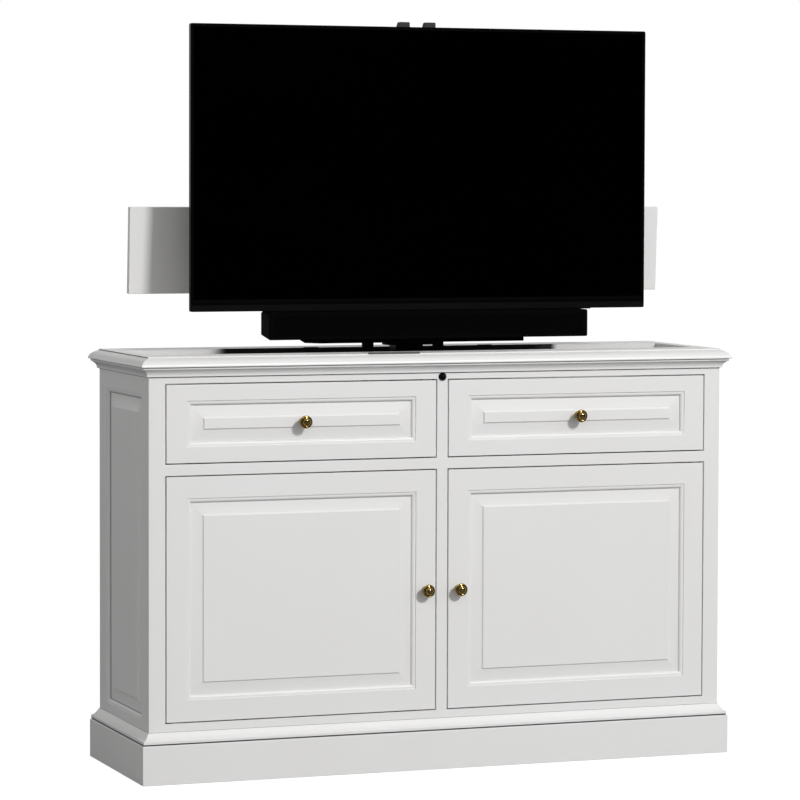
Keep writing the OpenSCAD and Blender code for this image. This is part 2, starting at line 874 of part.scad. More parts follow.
module lift_motor() {
    gear_w = 2 * motor_r + 12;
    color(STEEL) translate([column_w / 2, y_col, z_lift0]) {
        translate([0, -motor_r, 0]) cube([gear_w, 2 * motor_r, gear_h]);
        translate([gear_w / 2, 0, gear_h]) cylinder(h = motor_len, r = motor_r);
        translate([gear_w / 2, 0, gear_h + motor_len]) cylinder(h = 6, r = motor_r - 6);
    }
}

module lift_brace() {
    y0 = y_col + column_d / 2;
    y1 = y_back - back_t;
    z1 = z_outer1 - brace_drop;
    z0 = z1 - brace_h;
    color(STEEL) {
        translate([-brace_w / 2, y0, z1]) cube([brace_w, y1 - y0, brace_t]);
        translate([-brace_w / 2, y1 - brace_t, z0]) cube([brace_w, brace_t, brace_h]);
        translate([-column_w / 2, y0, z0]) cube([column_w, brace_t, brace_h]);
    }
}

module control_box() {
    rim = 4;
    to_back = 10;
    color(BLACK) translate([-control_x - control_w / 2, y_back - back_t - to_back - control_d, z_floor]) {
        cube([control_w, control_d, control_h]);
        translate([rim, rim, control_h]) cube([control_w - 2 * rim, control_d - 2 * rim, 2]);
    }
}

module lift_head() {
    w = column_w - 4 * stage_step;
    y1 = y_col + column_d / 2 - 2 * stage_step;
    color(STEEL) {
        translate([-w / 2, y_mount, z_inner1]) cube([w, y1 - y_mount, mount_t]);
        for (x = [-w / 2, w / 2 - mount_t]) translate([x, y_mount, z_inner1])
            cube([mount_t, y1 - y_mount, head_h]);
        translate([-mount_w / 2, y_rail1, z_head1 - mount_h]) cube([mount_w, mount_t, mount_h]);
    }
}

module mount_rails() {
    color(STEEL) for (x = [-mount_rail_x, mount_rail_x])
        translate([x - mount_rail_w / 2, y_rail0, z_bar_shelf])
            cube([mount_rail_w, mount_rail_d, z_head1 - z_bar_shelf]);
}

module lid_skids() {
    w = mount_rail_w + 1;
    ease = 2;
    color(BLACK) for (x = [-mount_rail_x, mount_rail_x])
        translate([x - w / 2, y_rail1, z_head1]) rotate([90, 0, 0]) linear_extrude(mount_rail_d)
            polygon([
                [0, 0], [w, 0], [w, skid_h - ease], [w - ease, skid_h],
                [skid_slant + ease, skid_h], [skid_slant, skid_h - ease]
            ]);
}

// Screen

module rounded_plate(w, h, r) {
    translate([-w / 2 + r, 0]) square([w - 2 * r, h]);
    translate([-w / 2, r]) square([w, h - 2 * r]);
    for (x = [-w / 2 + r, w / 2 - r], z = [r, h - r]) translate([x, z]) circle(r);
}

module glass_window(d) {
    translate([tv_x - tv_w / 2 + bezel_w, y_tv0, z_tv0 + bezel_low])
        cube([tv_w - 2 * bezel_w, d, tv_h - bezel_low - bezel_w]);
}

module screen_frame() {
    color(BLACK) difference() {
        translate([tv_x, y_tv1, z_tv0]) rotate([90, 0, 0]) linear_extrude(tv_d)
            rounded_plate(tv_w, tv_h, tv_corner_r);
        translate([0, -cut, 0]) glass_window(glass_in + glass_t + cut);
    }
}

module screen_glass() {
    color("#050506") translate([0, glass_in, 0]) glass_window(glass_t);
}

module screen_housing() {
    c = housing_chamfer;
    z0 = z_tv0 + housing_up;
    depth = y_rail0 - y_tv1;
    color(BLACK) translate([tv_x, 0, 0]) intersection() {
        translate([0, 0, z0]) linear_extrude(housing_h) polygon([
            [-housing_w / 2, y_tv1], [housing_w / 2, y_tv1],
            [housing_w / 2 - c, y_tv1 + depth], [-housing_w / 2 + c, y_tv1 + depth]
        ]);
        rotate([90, 0, 90]) linear_extrude(housing_w, center = true) polygon([
            [y_tv1, z0], [y_tv1 + depth, z0 + c],
            [y_tv1 + depth, z0 + housing_h - c], [y_tv1, z0 + housing_h]
        ]);
    }
}

// Soundbar

module bar_section(inset = 0) {
    translate([bar_edge_r, inset]) square([bar_d - 2 * bar_edge_r, bar_h - 2 * inset]);
    translate([inset, bar_edge_r]) square([bar_d - 2 * inset, bar_h - 2 * bar_edge_r]);
    for (y = [bar_edge_r, bar_d - bar_edge_r], z = [bar_edge_r, bar_h - bar_edge_r])
        translate([y, z]) circle(bar_edge_r - inset);
}

module bar_length(x0, x1, inset = 0) {
    translate([x0, y_bar0, z_bar0]) rotate([90, 0, 90]) linear_extrude(x1 - x0) bar_section(inset);
}

bar_core = bar_w / 2 - bar_cap_t;

module grille_space(grow = 0) {
    translate([bar_x - bar_core, y_bar0 - grow, z_bar0 + bar_edge_r])
        cube([2 * bar_core, grille_t + grow, bar_h - 2 * bar_edge_r]);
}

module soundbar_case() {
    color(BLACK) difference() {
        translate([bar_x, 0, 0]) bar_length(-bar_core, bar_core);
        grille_space(cut);
    }
}

module soundbar_grille() {
    color("#1d1e20") grille_space();
}

module soundbar_caps() {
    color("#232426") translate([bar_x, 0, 0]) for (side = [0, 1]) mirror([side, 0, 0])
        bar_length(bar_core, bar_w / 2, 0.5);
}

module soundbar_shelf() {
    y0 = y_bar0 + 8;
    foot = 30;
    color(STEEL) translate([bar_shelf_x, 0, 0]) {
        translate([-bar_shelf_w / 2, y0, z_bar_shelf - bar_shelf_t])
            cube([bar_shelf_w, y_rail1 - y0, bar_shelf_t]);
        translate([-bar_shelf_w / 2, y0, z_bar_shelf - bar_lip_h]) cube([bar_shelf_w, 2, bar_lip_h]);
        for (side = [0, 1]) mirror([side, 0, 0])
            translate([bar_shelf_w / 2 - foot - 20, y0 + 6, z_bar_shelf]) cube([foot, foot - 6, bar_foot_h]);
    }
}

// Lid and its carrier

module in_lid() {
    translate([0, y_hinge, z_hinge]) rotate([lid_lean, 0, 0]) children();
}

module lid_board() {
    ease = 1;
    color(PAINT) in_lid() translate([-lid_w / 2, hinge_off, -lid_below])
        rotate([90, 0, 90]) linear_extrude(lid_w) polygon([
            [0, ease], [ease, 0], [lid_t - ease, 0], [lid_t, ease],
            [lid_t, lid_d - ease], [lid_t - ease, lid_d], [ease, lid_d], [0, lid_d - ease]
        ]);
}

module lid_ears() {
    color(STEEL) in_lid() for (side = [0, 1]) mirror([side, 0, 0])
        translate([post_x + post_w / 2 + 1, 0, 0]) difference() {
            union() {
                rotate([0, 90, 0]) cylinder(h = ear_t, r = eye_r);
                translate([0, 0, -eye_r]) cube([ear_t, hinge_off, 2 * eye_r]);
                translate([0, hinge_off - 2, -eye_r]) cube([ear_t + 14, 2, 2 * eye_r + 24]);
            }
            translate([-cut, 0, 0]) rotate([0, 90, 0]) cylinder(h = ear_t + 2 * cut, r = rod_r + pin_gap);
        }
}

module lid_bumpers() {
    middle_back = y_col + column_d / 2 - stage_step;
    bumper_z = 140;
    bumper_r = 7;
    lid_face_y = hinge_off * cos(lid_lean) - bumper_z * sin(lid_lean);
    length = y_hinge + lid_face_y - middle_back - seat - bumper_r * sin(lid_lean);
    color(FELT) in_lid() for (x = [-18, 18])
        translate([x, hinge_off, bumper_z]) rotate([90, 0, 0]) cylinder(h = length, r = bumper_r);
}

module lid_posts() {
    color(STEEL) for (x = [-post_x, post_x]) translate([x - post_w / 2, 0, 0]) difference() {
        union() {
            translate([0, y_hinge - post_d / 2, z_hinge - post_len]) cube([post_w, post_d, post_len]);
            translate([0, y_hinge, z_hinge]) rotate([0, 90, 0]) cylinder(h = post_w, r = eye_r);
        }
        translate([-cut, y_hinge, z_hinge]) rotate([0, 90, 0]) cylinder(h = post_w + 2 * cut, r = rod_r);
    }
}

module lid_hinge_rod() {
    reach = post_x + post_w / 2 + 1 + ear_t + 2;
    color(ALUMINIUM) translate([-reach, y_hinge, z_hinge]) rotate([0, 90, 0])
        cylinder(h = 2 * reach, r = rod_r);
}

module lid_post_guides() {
    wall = 5;
    clear = 0.5;
    y_bar = y_post1 + clear;
    y_col_back = y_col + column_d / 2;
    channel_w = post_w + 2 * (clear + wall);
    half = post_x + channel_w / 2;
    color(STEEL) {
        translate([-half, y_bar, z_post_guide]) cube([2 * half, 6, post_guide_h]);
        translate([-28, y_col_back, z_post_guide]) cube([56, y_bar - y_col_back, post_guide_h]);
        for (x = [-post_x, post_x]) {
            y0 = y_hinge - post_d / 2 - clear - wall;
            translate([x - channel_w / 2, y0, z_post_guide]) cube([channel_w, wall, post_guide_h]);
            for (wx = [x - channel_w / 2, x + channel_w / 2 - wall])
                translate([wx, y0, z_post_guide]) cube([wall, y_bar - y0, post_guide_h]);
        }
    }
}

plinth_front();
plinth_sides();
plinth_rear();
base_moulding();
bottom_board();
side_frame(false);  // side_frame_left
side_frame(true);  // side_frame_right
side_panel(false);  // side_panel_left
side_panel(true);  // side_panel_right
face_stiles();
face_rails();
back_panel();
top_front();
top_back();
top_sides();
cornice_moulding();
drawer_shelf();
drawer_guides();
door_pivot_pins();
door_catches();
remote_sensor();
lift_foot();
lift_outer_column();
lift_motor();
lift_brace();
control_box();
lid_post_guides();
opening_felt();
cable_bushing();
lift_middle_column();
lift_inner_column();
lift_head();
mount_rails();
lid_skids();
screen_frame();
screen_glass();
screen_housing();
soundbar_shelf();
soundbar_case();
soundbar_caps();
soundbar_grille();
lid_posts();
lid_hinge_rod();
lid_board();
lid_ears();
lid_bumpers();
drawer_frame(false);  // drawer_left_frame
drawer_panel(false);  // drawer_left_panel
drawer_box(false);  // drawer_left_box
drawer_knob(false);  // drawer_left_knob
drawer_frame(true);  // drawer_right_frame
drawer_panel(true);  // drawer_right_panel
drawer_box(true);  // drawer_right_box
drawer_knob(true);  // drawer_right_knob
door_frame(false);  // door_left_frame
door_panel(false);  // door_left_panel
door_knob(false);  // door_left_knob
door_frame(true);  // door_right_frame
door_panel(true);  // door_right_panel
door_knob(true);  // door_right_knob
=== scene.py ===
"""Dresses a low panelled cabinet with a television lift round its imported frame."""

from __future__ import annotations

import logging
import math
import sys
from dataclasses import dataclass, field
from enum import Enum
from typing import Any, Mapping, Optional, Sequence, Union

import bmesh
import bpy
from mathutils import Matrix, Vector


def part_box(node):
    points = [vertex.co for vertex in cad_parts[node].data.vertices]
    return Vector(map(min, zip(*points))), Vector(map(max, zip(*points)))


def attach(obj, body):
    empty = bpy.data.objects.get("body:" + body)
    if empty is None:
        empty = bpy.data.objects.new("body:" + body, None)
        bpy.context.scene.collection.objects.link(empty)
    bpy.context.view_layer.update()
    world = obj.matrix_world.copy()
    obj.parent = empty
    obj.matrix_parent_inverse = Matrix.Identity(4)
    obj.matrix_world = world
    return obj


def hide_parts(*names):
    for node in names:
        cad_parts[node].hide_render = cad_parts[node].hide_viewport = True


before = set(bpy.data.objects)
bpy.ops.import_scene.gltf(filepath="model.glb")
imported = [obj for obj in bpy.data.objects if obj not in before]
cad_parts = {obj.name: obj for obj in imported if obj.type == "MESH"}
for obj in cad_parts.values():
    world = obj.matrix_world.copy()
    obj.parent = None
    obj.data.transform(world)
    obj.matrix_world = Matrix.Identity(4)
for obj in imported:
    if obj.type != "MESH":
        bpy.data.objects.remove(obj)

LOG = logging.getLogger("cabinet")
MM = 0.001
Colour = tuple[float, float, float, float]
Point = tuple[float, float, float]
Rect = tuple[float, float, float, float]
Profile = tuple[tuple[float, float], ...]
Spot = tuple[Point, Point]


class Body(Enum):
    """The moving bodies of the frame."""

    CABINET = "cabinet"
    MIDDLE = "lift_middle"
    CARRIAGE = "lift_carriage"
    LID_CARRIER = "lid_carrier"
    LID = "lid"
    DRAWER_LEFT = "drawer_left"
    DRAWER_RIGHT = "drawer_right"
    DOOR_LEFT = "door_left"
    DOOR_RIGHT = "door_right"


class Side(Enum):
    """The two halves of the cabinet."""

    LEFT = "left"
    RIGHT = "right"


class Run(Enum):
    """The way a board's brush marks run."""

    ACROSS = (1.0, 0.0, 0.0)
    DEEP = (0.0, 1.0, 0.0)
    UP = (0.0, 0.0, 1.0)


class Sock:
    """A node's output that Python's operators turn into Math nodes."""

    def __init__(self, owner: "Nodes", socket: bpy.types.NodeSocket) -> None:
        """Args:
        owner: The wrapped tree that the socket is in.
        socket: The output socket.
        """
        self.owner = owner
        self.socket = socket

    def __add__(self, other: "Number") -> "Sock":
        """Sum."""
        return self.owner.math("ADD", self, other)

    def __sub__(self, other: "Number") -> "Sock":
        """Difference."""
        return self.owner.math("SUBTRACT", self, other)

    def __rsub__(self, other: "Number") -> "Sock":
        """Difference from a number."""
        return self.owner.math("SUBTRACT", other, self)

    def __mul__(self, other: "Number") -> "Sock":
        """Product."""
        return self.owner.math("MULTIPLY", self, other)

    def __abs__(self) -> "Sock":
        """Size without its sign."""
        return self.owner.math("ABSOLUTE", self)

    def __neg__(self) -> "Sock":
        """The other sign."""
        return self.owner.math("MULTIPLY", self, -1.0)

    __radd__ = __add__
    __rmul__ = __mul__


Number = Union[Sock, float]


class Nodes:
    """A node tree with one method that makes any node."""

    def __init__(self, tree: bpy.types.NodeTree) -> None:
        """Args:
        tree: The tree to build in.
        """
        self.tree = tree

    def node(
        self,
        kind: str,
        settings: Optional[Mapping[str, Any]] = None,
        values: Optional[Mapping[Union[str, int], Any]] = None,
    ) -> bpy.types.Node:
        """Makes a node.

        Args:
            kind: The node's type.
            settings: Its settings, with "stops" for a ramp's (place, colour) pairs.
            values: Numbers, colours or links for its sockets.

        Returns:
            The new node.
        """
        made = self.tree.nodes.new(kind)
        for key, value in (settings or {}).items():
            if key == "stops":
                elements = made.color_ramp.elements
                while len(elements) < len(value):
                    elements.new(0.5)
                for element, (place, colour) in zip(elements, value):
                    element.position = place
                    element.color = colour
            else:
                setattr(made, key, value)
        for key, value in (values or {}).items():
            if isinstance(value, Sock):
                self.tree.links.new(value.socket, made.inputs[key])
            elif isinstance(value, bpy.types.NodeSocket):
                self.tree.links.new(value, made.inputs[key])
            else:
                made.inputs[key].default_value = value
        return made

    def out(self, made: bpy.types.Node, key: Union[str, int] = 0) -> Sock:
        """One output of a node, as a value that can be reckoned with."""
        return Sock(self, made.outputs[key])

    def math(self, operation: str, *numbers: Number) -> Sock:
        """Adds a Math node.

        Args:
            operation: The node's operation.
            numbers: Its inputs in order.

        Returns:
            The result.
        """
        return self.out(
            self.node(
                "ShaderNodeMath", {"operation": operation}, dict(enumerate(numbers))
            )
        )

    def ramped(self, value: Number, low: float, high: float) -> Sock:
        """Smooth rise of a value from 0 at low to 1 at high."""
        return self.out(
            self.node(
                "ShaderNodeMapRange",
                {"interpolation_type": "SMOOTHSTEP"},
                {"Value": value, "From Min": low, "From Max": high},
            )
        )

    def blend(self, share: Number, first: Any, second: Any) -> Sock:
        """Mixes two colours.

        Args:
            share: How much of the second colour.
            first: The first colour or link.
            second: The second colour or link.

        Returns:
            The mixed colour.
        """
        made = self.node(
            "ShaderNodeMix", {"data_type": "RGBA"}, {0: share, 6: first, 7: second}
        )
        return self.out(made, 2)

    def place(self, stretch: Point = (1.0, 1.0, 1.0)) -> Sock:
        """The object's own coordinates, stretched.

        Args:
            stretch: A factor for each axis.

        Returns:
            The vector.
        """
        made = self.node("ShaderNodeTexCoord")
        return self.out(
            self.node(
                "ShaderNodeMapping",
                {},
                {"Vector": self.out(made, "Object"), "Scale": stretch},
            )
        )

    def axes(self) -> tuple[Sock, Sock, Sock]:
        """The object's own x, y and z."""
        made = self.node("ShaderNodeSeparateXYZ", {}, {0: self.place()})
        return self.out(made, 0), self.out(made, 1), self.out(made, 2)

    def noise(self, scale: float, detail: float = 3.0, where: Any = None) -> Sock:
        """Soft noise from 0 to 1.

        Args:
            scale: Marks to the metre.
            detail: Octaves.
            where: The vector it is laid on, or None for the object's own.

        Returns:
            The noise.
        """
        return self.out(
            self.node(
                "ShaderNodeTexNoise",
                {},
                {"Vector": where or self.place(), "Scale": scale, "Detail": detail},
            )
        )


class Surface(Nodes):
    """A material with one principled shader."""

    def __init__(self, name: str, **constants: Any) -> None:
        """Args:
        name: The material's name.
        constants: Values of the shader's sockets, with spaces written as underscores.
        """
        self.material = bpy.data.materials.new(name)
        self.material.use_nodes = True
        super().__init__(self.material.node_tree)
        self.tree.nodes.clear()
        self.shader = self.node("ShaderNodeBsdfPrincipled")
        self.node(
            "ShaderNodeOutputMaterial", {}, {"Surface": self.shader.outputs["BSDF"]}
        )
        for key, value in constants.items():
            self.shader.inputs[key.replace("_", " ")].default_value = value

    def feed(self, socket: str, value: Sock) -> None:
        """Links a value that changes over the surface to the shader."""
        self.tree.links.new(value.socket, self.shader.inputs[socket])

    def relief(self, height: Sock, depth: float, strength: float = 1.0) -> None:
        """Bump from a height of 0 to 1.

        Args:
            height: The pattern.
            depth: How deep it is in metres.
            strength: How much of it shows.
        """
        made = self.node(
            "ShaderNodeBump",
            {},
            {"Height": height, "Distance": depth, "Strength": strength},
        )
        self.feed("Normal", self.out(made))


def grey(level: float, warmth: float = 0.0) -> Colour:
    """A near-neutral linear colour."""
    return (level * (1 + warmth), level, level * (1 - warmth), 1.0)


@dataclass(frozen=True)
class Finish:
    """A finish that builds its material once."""

    name: str
    slot: str

    def lay(self) -> Surface:
        """Builds the material's nodes."""
        raise NotImplementedError

    def material(self) -> bpy.types.Material:
        """The finish's material."""
        return bpy.data.materials.get(self.name) or self.lay().material


@dataclass(frozen=True)
class SatinPaint(Finish):
    """Satin off-white paint laid on a board with a brush or a fine roller."""

    run: Run = Run.UP
    level: float = 0.79
    warmth: float = 0.008

    def lay(self) -> Surface:
        """Fine orange peel with faint strokes along the board."""
        s = Surface(self.name, Specular_IOR_Level=0.45)
        along, fine = 9.0, 420.0
        strokes = s.noise(
            1.0, 2.0, s.place(tuple(along if c else fine for c in self.run.value))
        )
        peel = s.noise(650.0, 2.0)
        cloud = s.noise(4.5, 4.0)
        tint = s.blend(
            cloud, grey(self.level * 0.975, self.warmth * 1.6), grey(self.level * 1.01)
        )
        s.feed("Base Color", tint)
        s.feed("Roughness", 0.31 + 0.08 * cloud + 0.04 * strokes)
        s.relief(0.35 * strokes + 0.65 * peel, 0.035 * MM, 0.3)
        return s


@dataclass(frozen=True)
class Plywood(Finish):
    """Sealed birch plywood with its plies on the edges."""

    def lay(self) -> Surface:
        """Long grain on the faces and thin plies on the upper edges."""
        s = Surface(self.name, Specular_IOR_Level=0.35)
        grain = s.noise(1.0, 5.0, s.place((7.0, 90.0, 140.0)))
        pores = s.noise(1.0, 2.0, s.place((60.0, 900.0, 900.0)))
        x, y, z = s.axes()
        plies = s.ramped(s.math("SINE", (x + y) * (2 * math.pi / (1.5 * MM))), -0.4, 0.6)
        facing = s.out(s.node("ShaderNodeNewGeometry"), "Normal")
        up = s.out(s.node("ShaderNodeSeparateXYZ", {}, {0: facing}), 2)
        edge = s.ramped(abs(up), 0.6, 0.9)
        face = s.blend(grain, (0.50, 0.37, 0.22, 1), (0.70, 0.56, 0.38, 1))
        ends = s.blend(plies, (0.33, 0.22, 0.12, 1), (0.63, 0.49, 0.32, 1))
        s.feed("Base Color", s.blend(edge * 0.7, face, ends))
        s.feed("Roughness", 0.5 + 0.2 * grain)
        s.relief(0.6 * grain + 0.4 * pores, 0.06 * MM, 0.6)
        return s


@dataclass(frozen=True)
class AgedBrass(Finish):
    """Turned brass, lacquered and a little darkened."""

    def lay(self) -> Surface:
        """Bright where it is handled, brown where it is not, with fine turning marks."""
        s = Surface(self.name, Metallic=1.0)
        patch = s.ramped(s.noise(170.0, 3.0), 0.30, 0.75)
        speck = s.ramped(s.noise(1500.0, 2.0), 0.62, 0.76)
        tone = s.blend(patch, (0.28, 0.18, 0.055, 1), (0.45, 0.32, 0.115, 1))
        s.feed("Base Color", s.blend(speck * 0.3, tone, (0.13, 0.085, 0.03, 1)))
        s.feed("Roughness", 0.09 + 0.05 * patch + 0.10 * speck)
        s.relief(s.noise(1.0, 2.0, s.place((500.0, 3600.0, 500.0))), 0.006 * MM, 0.4)
        return s


@dataclass(frozen=True)
class Moulded(Finish):
    """Moulded plastic with a fine grain."""

    colour: Colour = (0.012, 0.012, 0.013, 1.0)
    roughness: float = 0.45
    grain: float = 0.03
    specular: float = 0.4

    def lay(self) -> Surface:
        """A little mottled, with the mould's grain."""
        s = Surface(self.name, Specular_IOR_Level=self.specular)
        mottle = s.noise(24.0, 4.0)
        grain = s.noise(1900.0, 1.0)
        dark = tuple(c * 0.82 for c in self.colour[:3]) + (1.0,)
        s.feed("Base Color", s.blend(mottle, dark, self.colour))
        s.feed("Roughness", self.roughness - 0.05 + 0.10 * mottle + 0.04 * grain)
        s.relief(grain, self.grain * MM, 0.5)
        return s


@dataclass(frozen=True)
class CoatedSteel(Finish):
    """Black powder coat on steel."""

    level: float = 0.014

    def lay(self) -> Surface:
        """The coat's pebbled skin, thinner and shinier in patches."""
        s = Surface(self.name, Metallic=0.0, Specular_IOR_Level=0.1)
        pebbles = s.noise(1100.0, 2.0)
        patch = s.noise(16.0, 3.0)
        s.feed("Base Color", s.blend(patch, grey(self.level * 0.75), grey(self.level * 1.2)))
        s.feed("Roughness", 0.42 + 0.14 * patch)
        s.relief(pebbles, 0.05 * MM, 0.7)
        return s


@dataclass(frozen=True)
class DarkMetal(Finish):
    """Drawn metal, anodised black or left bright, with lines along its length."""

    level: float = 0.03
    run: Run = Run.UP

    def lay(self) -> Surface:
        """Fine lines and a few rubbed ones."""
        s = Surface(self.name, Metallic=0.85, Specular_IOR_Level=0.5)
        fine, wide = (
            s.place(tuple(along if c else across for c in self.run.value))
            for along, across in ((3.0, 1500.0), (5.0, 160.0))
        )
        lines = s.noise(1.0, 3.0, fine)
        rubbed = s.ramped(s.noise(1.0, 3.0, wide), 0.60, 0.78)
        s.feed("Base Color", s.blend(rubbed * 0.6, grey(self.level), grey(self.level * 2.4)))
        s.feed("Roughness", 0.34 + 0.12 * lines - 0.06 * rubbed)
        s.relief(lines, 0.012 * MM, 0.6)
        return s


@dataclass(frozen=True)
class FeltStrip(Finish):
    """Black felt on the opening's rear edge, whose colour fades to the cabinet's paint at both
    ends as painted soft edges of the shade there.
    """

    # Where the bare felt begins and ends, and the lengths of the painted soft shade edge at each
    # end.
    left: float = -0.424
    right: float = 0.380
    left_shade_fade: float = 0.024
    right_shade_fade: float = 0.018

    def lay(self) -> Surface:
        """Short matted fibres, fading to paint at both ends as painted soft shade edges."""
        s = Surface(self.name, Specular_IOR_Level=0.1, Sheen_Weight=0.25, Sheen_Roughness=0.6)
        fibres = s.noise(1400.0, 3.0, s.place((1.0, 1.0, 0.4)))
        x, _, _ = s.axes()
        # Painted soft shade edges: the felt's black fades to the paint over each end.
        shown = s.ramped(x, self.left, self.left + self.left_shade_fade) * (
            1 - s.ramped(x, self.right - self.right_shade_fade, self.right)
        )
        felt = s.blend(fibres, grey(0.004), grey(0.014))
        s.feed("Base Color", s.blend(shown, grey(0.72), felt))
        s.feed("Roughness", 0.80 + 0.15 * fibres)
        s.relief(fibres, 0.2 * MM, 0.8)
        return s


@dataclass(frozen=True)
class Felt(Finish):
    """Plain black felt or foam."""

    def lay(self) -> Surface:
        """Short matted fibres."""
        s = Surface(self.name, Specular_IOR_Level=0.1, Sheen_Weight=0.2)
        fibres = s.noise(1400.0, 3.0)
        s.feed("Base Color", s.blend(fibres, grey(0.004), grey(0.014)))
        s.feed("Roughness", 0.80 + 0.15 * fibres)
        s.relief(fibres, 0.2 * MM, 0.8)
        return s


@dataclass(frozen=True)
class ScreenGlass(Finish):
    """Dark glass with an anti-glare coat, switched off."""

    def lay(self) -> Surface:
        """Nearly black, with the faintest haze where it was wiped."""
        s = Surface(self.name, Specular_IOR_Level=0.006)
        haze = s.noise(1.0, 4.0, s.place((2.0, 2.0, 5.0)))
        s.feed("Base Color", s.blend(haze, grey(0.0), grey(0.0002)))
        s.feed("Roughness", 0.10 + 0.10 * haze)
        s.relief(s.noise(2500.0, 1.0), 0.002 * MM, 0.3)
        return s


@dataclass(frozen=True)
class SpeakerCloth(Finish):
    """Woven black speaker cloth."""

    pitch: float = 1.1 * MM

    def lay(self) -> Surface:
        """Over-and-under threads with a little unevenness."""
        s = Surface(self.name, Specular_IOR_Level=0.02)
        x, _, z = s.axes()
        turn = 2 * math.pi / self.pitch
        weft = s.math("SINE", x * turn)
        warp = s.math("SINE", z * turn)
        weave = 0.5 + 0.25 * weft + 0.25 * warp
        slub = s.noise(1.0, 2.0, s.place((40.0, 40.0, 700.0)))
        s.feed("Base Color", s.blend(weave * slub, grey(0.0004), grey(0.0030)))
        s.feed("Roughness", 0.70 + 0.2 * weave)
        s.relief(0.8 * weave + 0.2 * slub, 0.12 * MM, 0.7)
        return s


# The finishes: a material's name, the record's slot, then what sets it apart.
PAINT_UP = SatinPaint("paint_upright", "paint", Run.UP)
PAINT_ACROSS = SatinPaint("paint_level", "paint", Run.ACROSS)
PAINT_DEEP = SatinPaint("paint_deep", "paint", Run.DEEP)
# A lighter copy of the paint for the lid: painted light, standing in for the stronger light that
# falls on the lid.
PAINT_LID_LIT = SatinPaint("paint_lid", "paint", Run.ACROSS, 0.84)
PLY = Plywood("birch_ply", "plywood")
BRASS = AgedBrass("turned_brass", "brass")
GLOSS = Moulded("gloss_bezel", "black_gloss", (0.0012, 0.0012, 0.0014, 1), 0.22, 0.002, 0.05)
# A satin black a little lighter than the bezel's: painted light on the chin strip, and a painted
# highlight as the fine line above it.
CHIN = Moulded("satin_chin", "black_gloss", (0.0026, 0.0028, 0.0027, 1), 0.45, 0.005, 0.05)
SHELL = Moulded("grained_shell", "black_plastic", (0.007, 0.007, 0.0074, 1), 0.5, 0.05, 0.3)
CAP = Moulded("bar_cap", "black_plastic", (0.0014, 0.0014, 0.0014, 1), 0.6, 0.01, 0.02)
WHITE = Moulded("white_plastic_grain", "white_plastic", (0.74, 0.74, 0.73, 1), 0.45, 0.02)
LENS = Moulded("sensor_lens", "black_gloss", (0.001, 0.001, 0.0014, 1), 0.10, 0.001, 0.11)
STEEL = CoatedSteel("powder_coat", "black_steel", 0.008)
# A dark grey for the short strip on the top's front board.
DARK_STRIP = Moulded("grey_stop", "rubber", (0.11, 0.11, 0.11, 1), 0.6, 0.02, 0.2)
# A near-black copy of the paint for the painted shadow lines in the gaps.
SHADE = SatinPaint("paint_crevice", "paint", Run.ACROSS, 0.05)
COLUMN = Moulded("black_anodised", "column_metal", (0.0035, 0.0035, 0.0037, 1), 0.42, 0.01, 0.06)
ZINC = DarkMetal("zinc_screws", "column_metal", 0.55, Run.DEEP)
ROD = DarkMetal("drawn_rod", "column_metal", 0.10, Run.ACROSS)
FELT_STRIP = FeltStrip("felt_strip_black", "felt")
FELT = Felt("felt_black", "felt")
RUBBER = Moulded("soft_rubber", "rubber", (0.016, 0.016, 0.016, 1), 0.62, 0.04, 0.5)
GLASS = ScreenGlass("screen_dark", "screen")
CLOTH = SpeakerCloth("speaker_weave", "grille_cloth")


def body_outline() -> Rect:
    """The body's left, front, right and back, inside its plinth and mouldings."""
    side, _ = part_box("side_frame_left")
    face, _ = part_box("face_stiles")
    _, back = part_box("back_panel")
    return side.x, face.y, -side.x, back.y


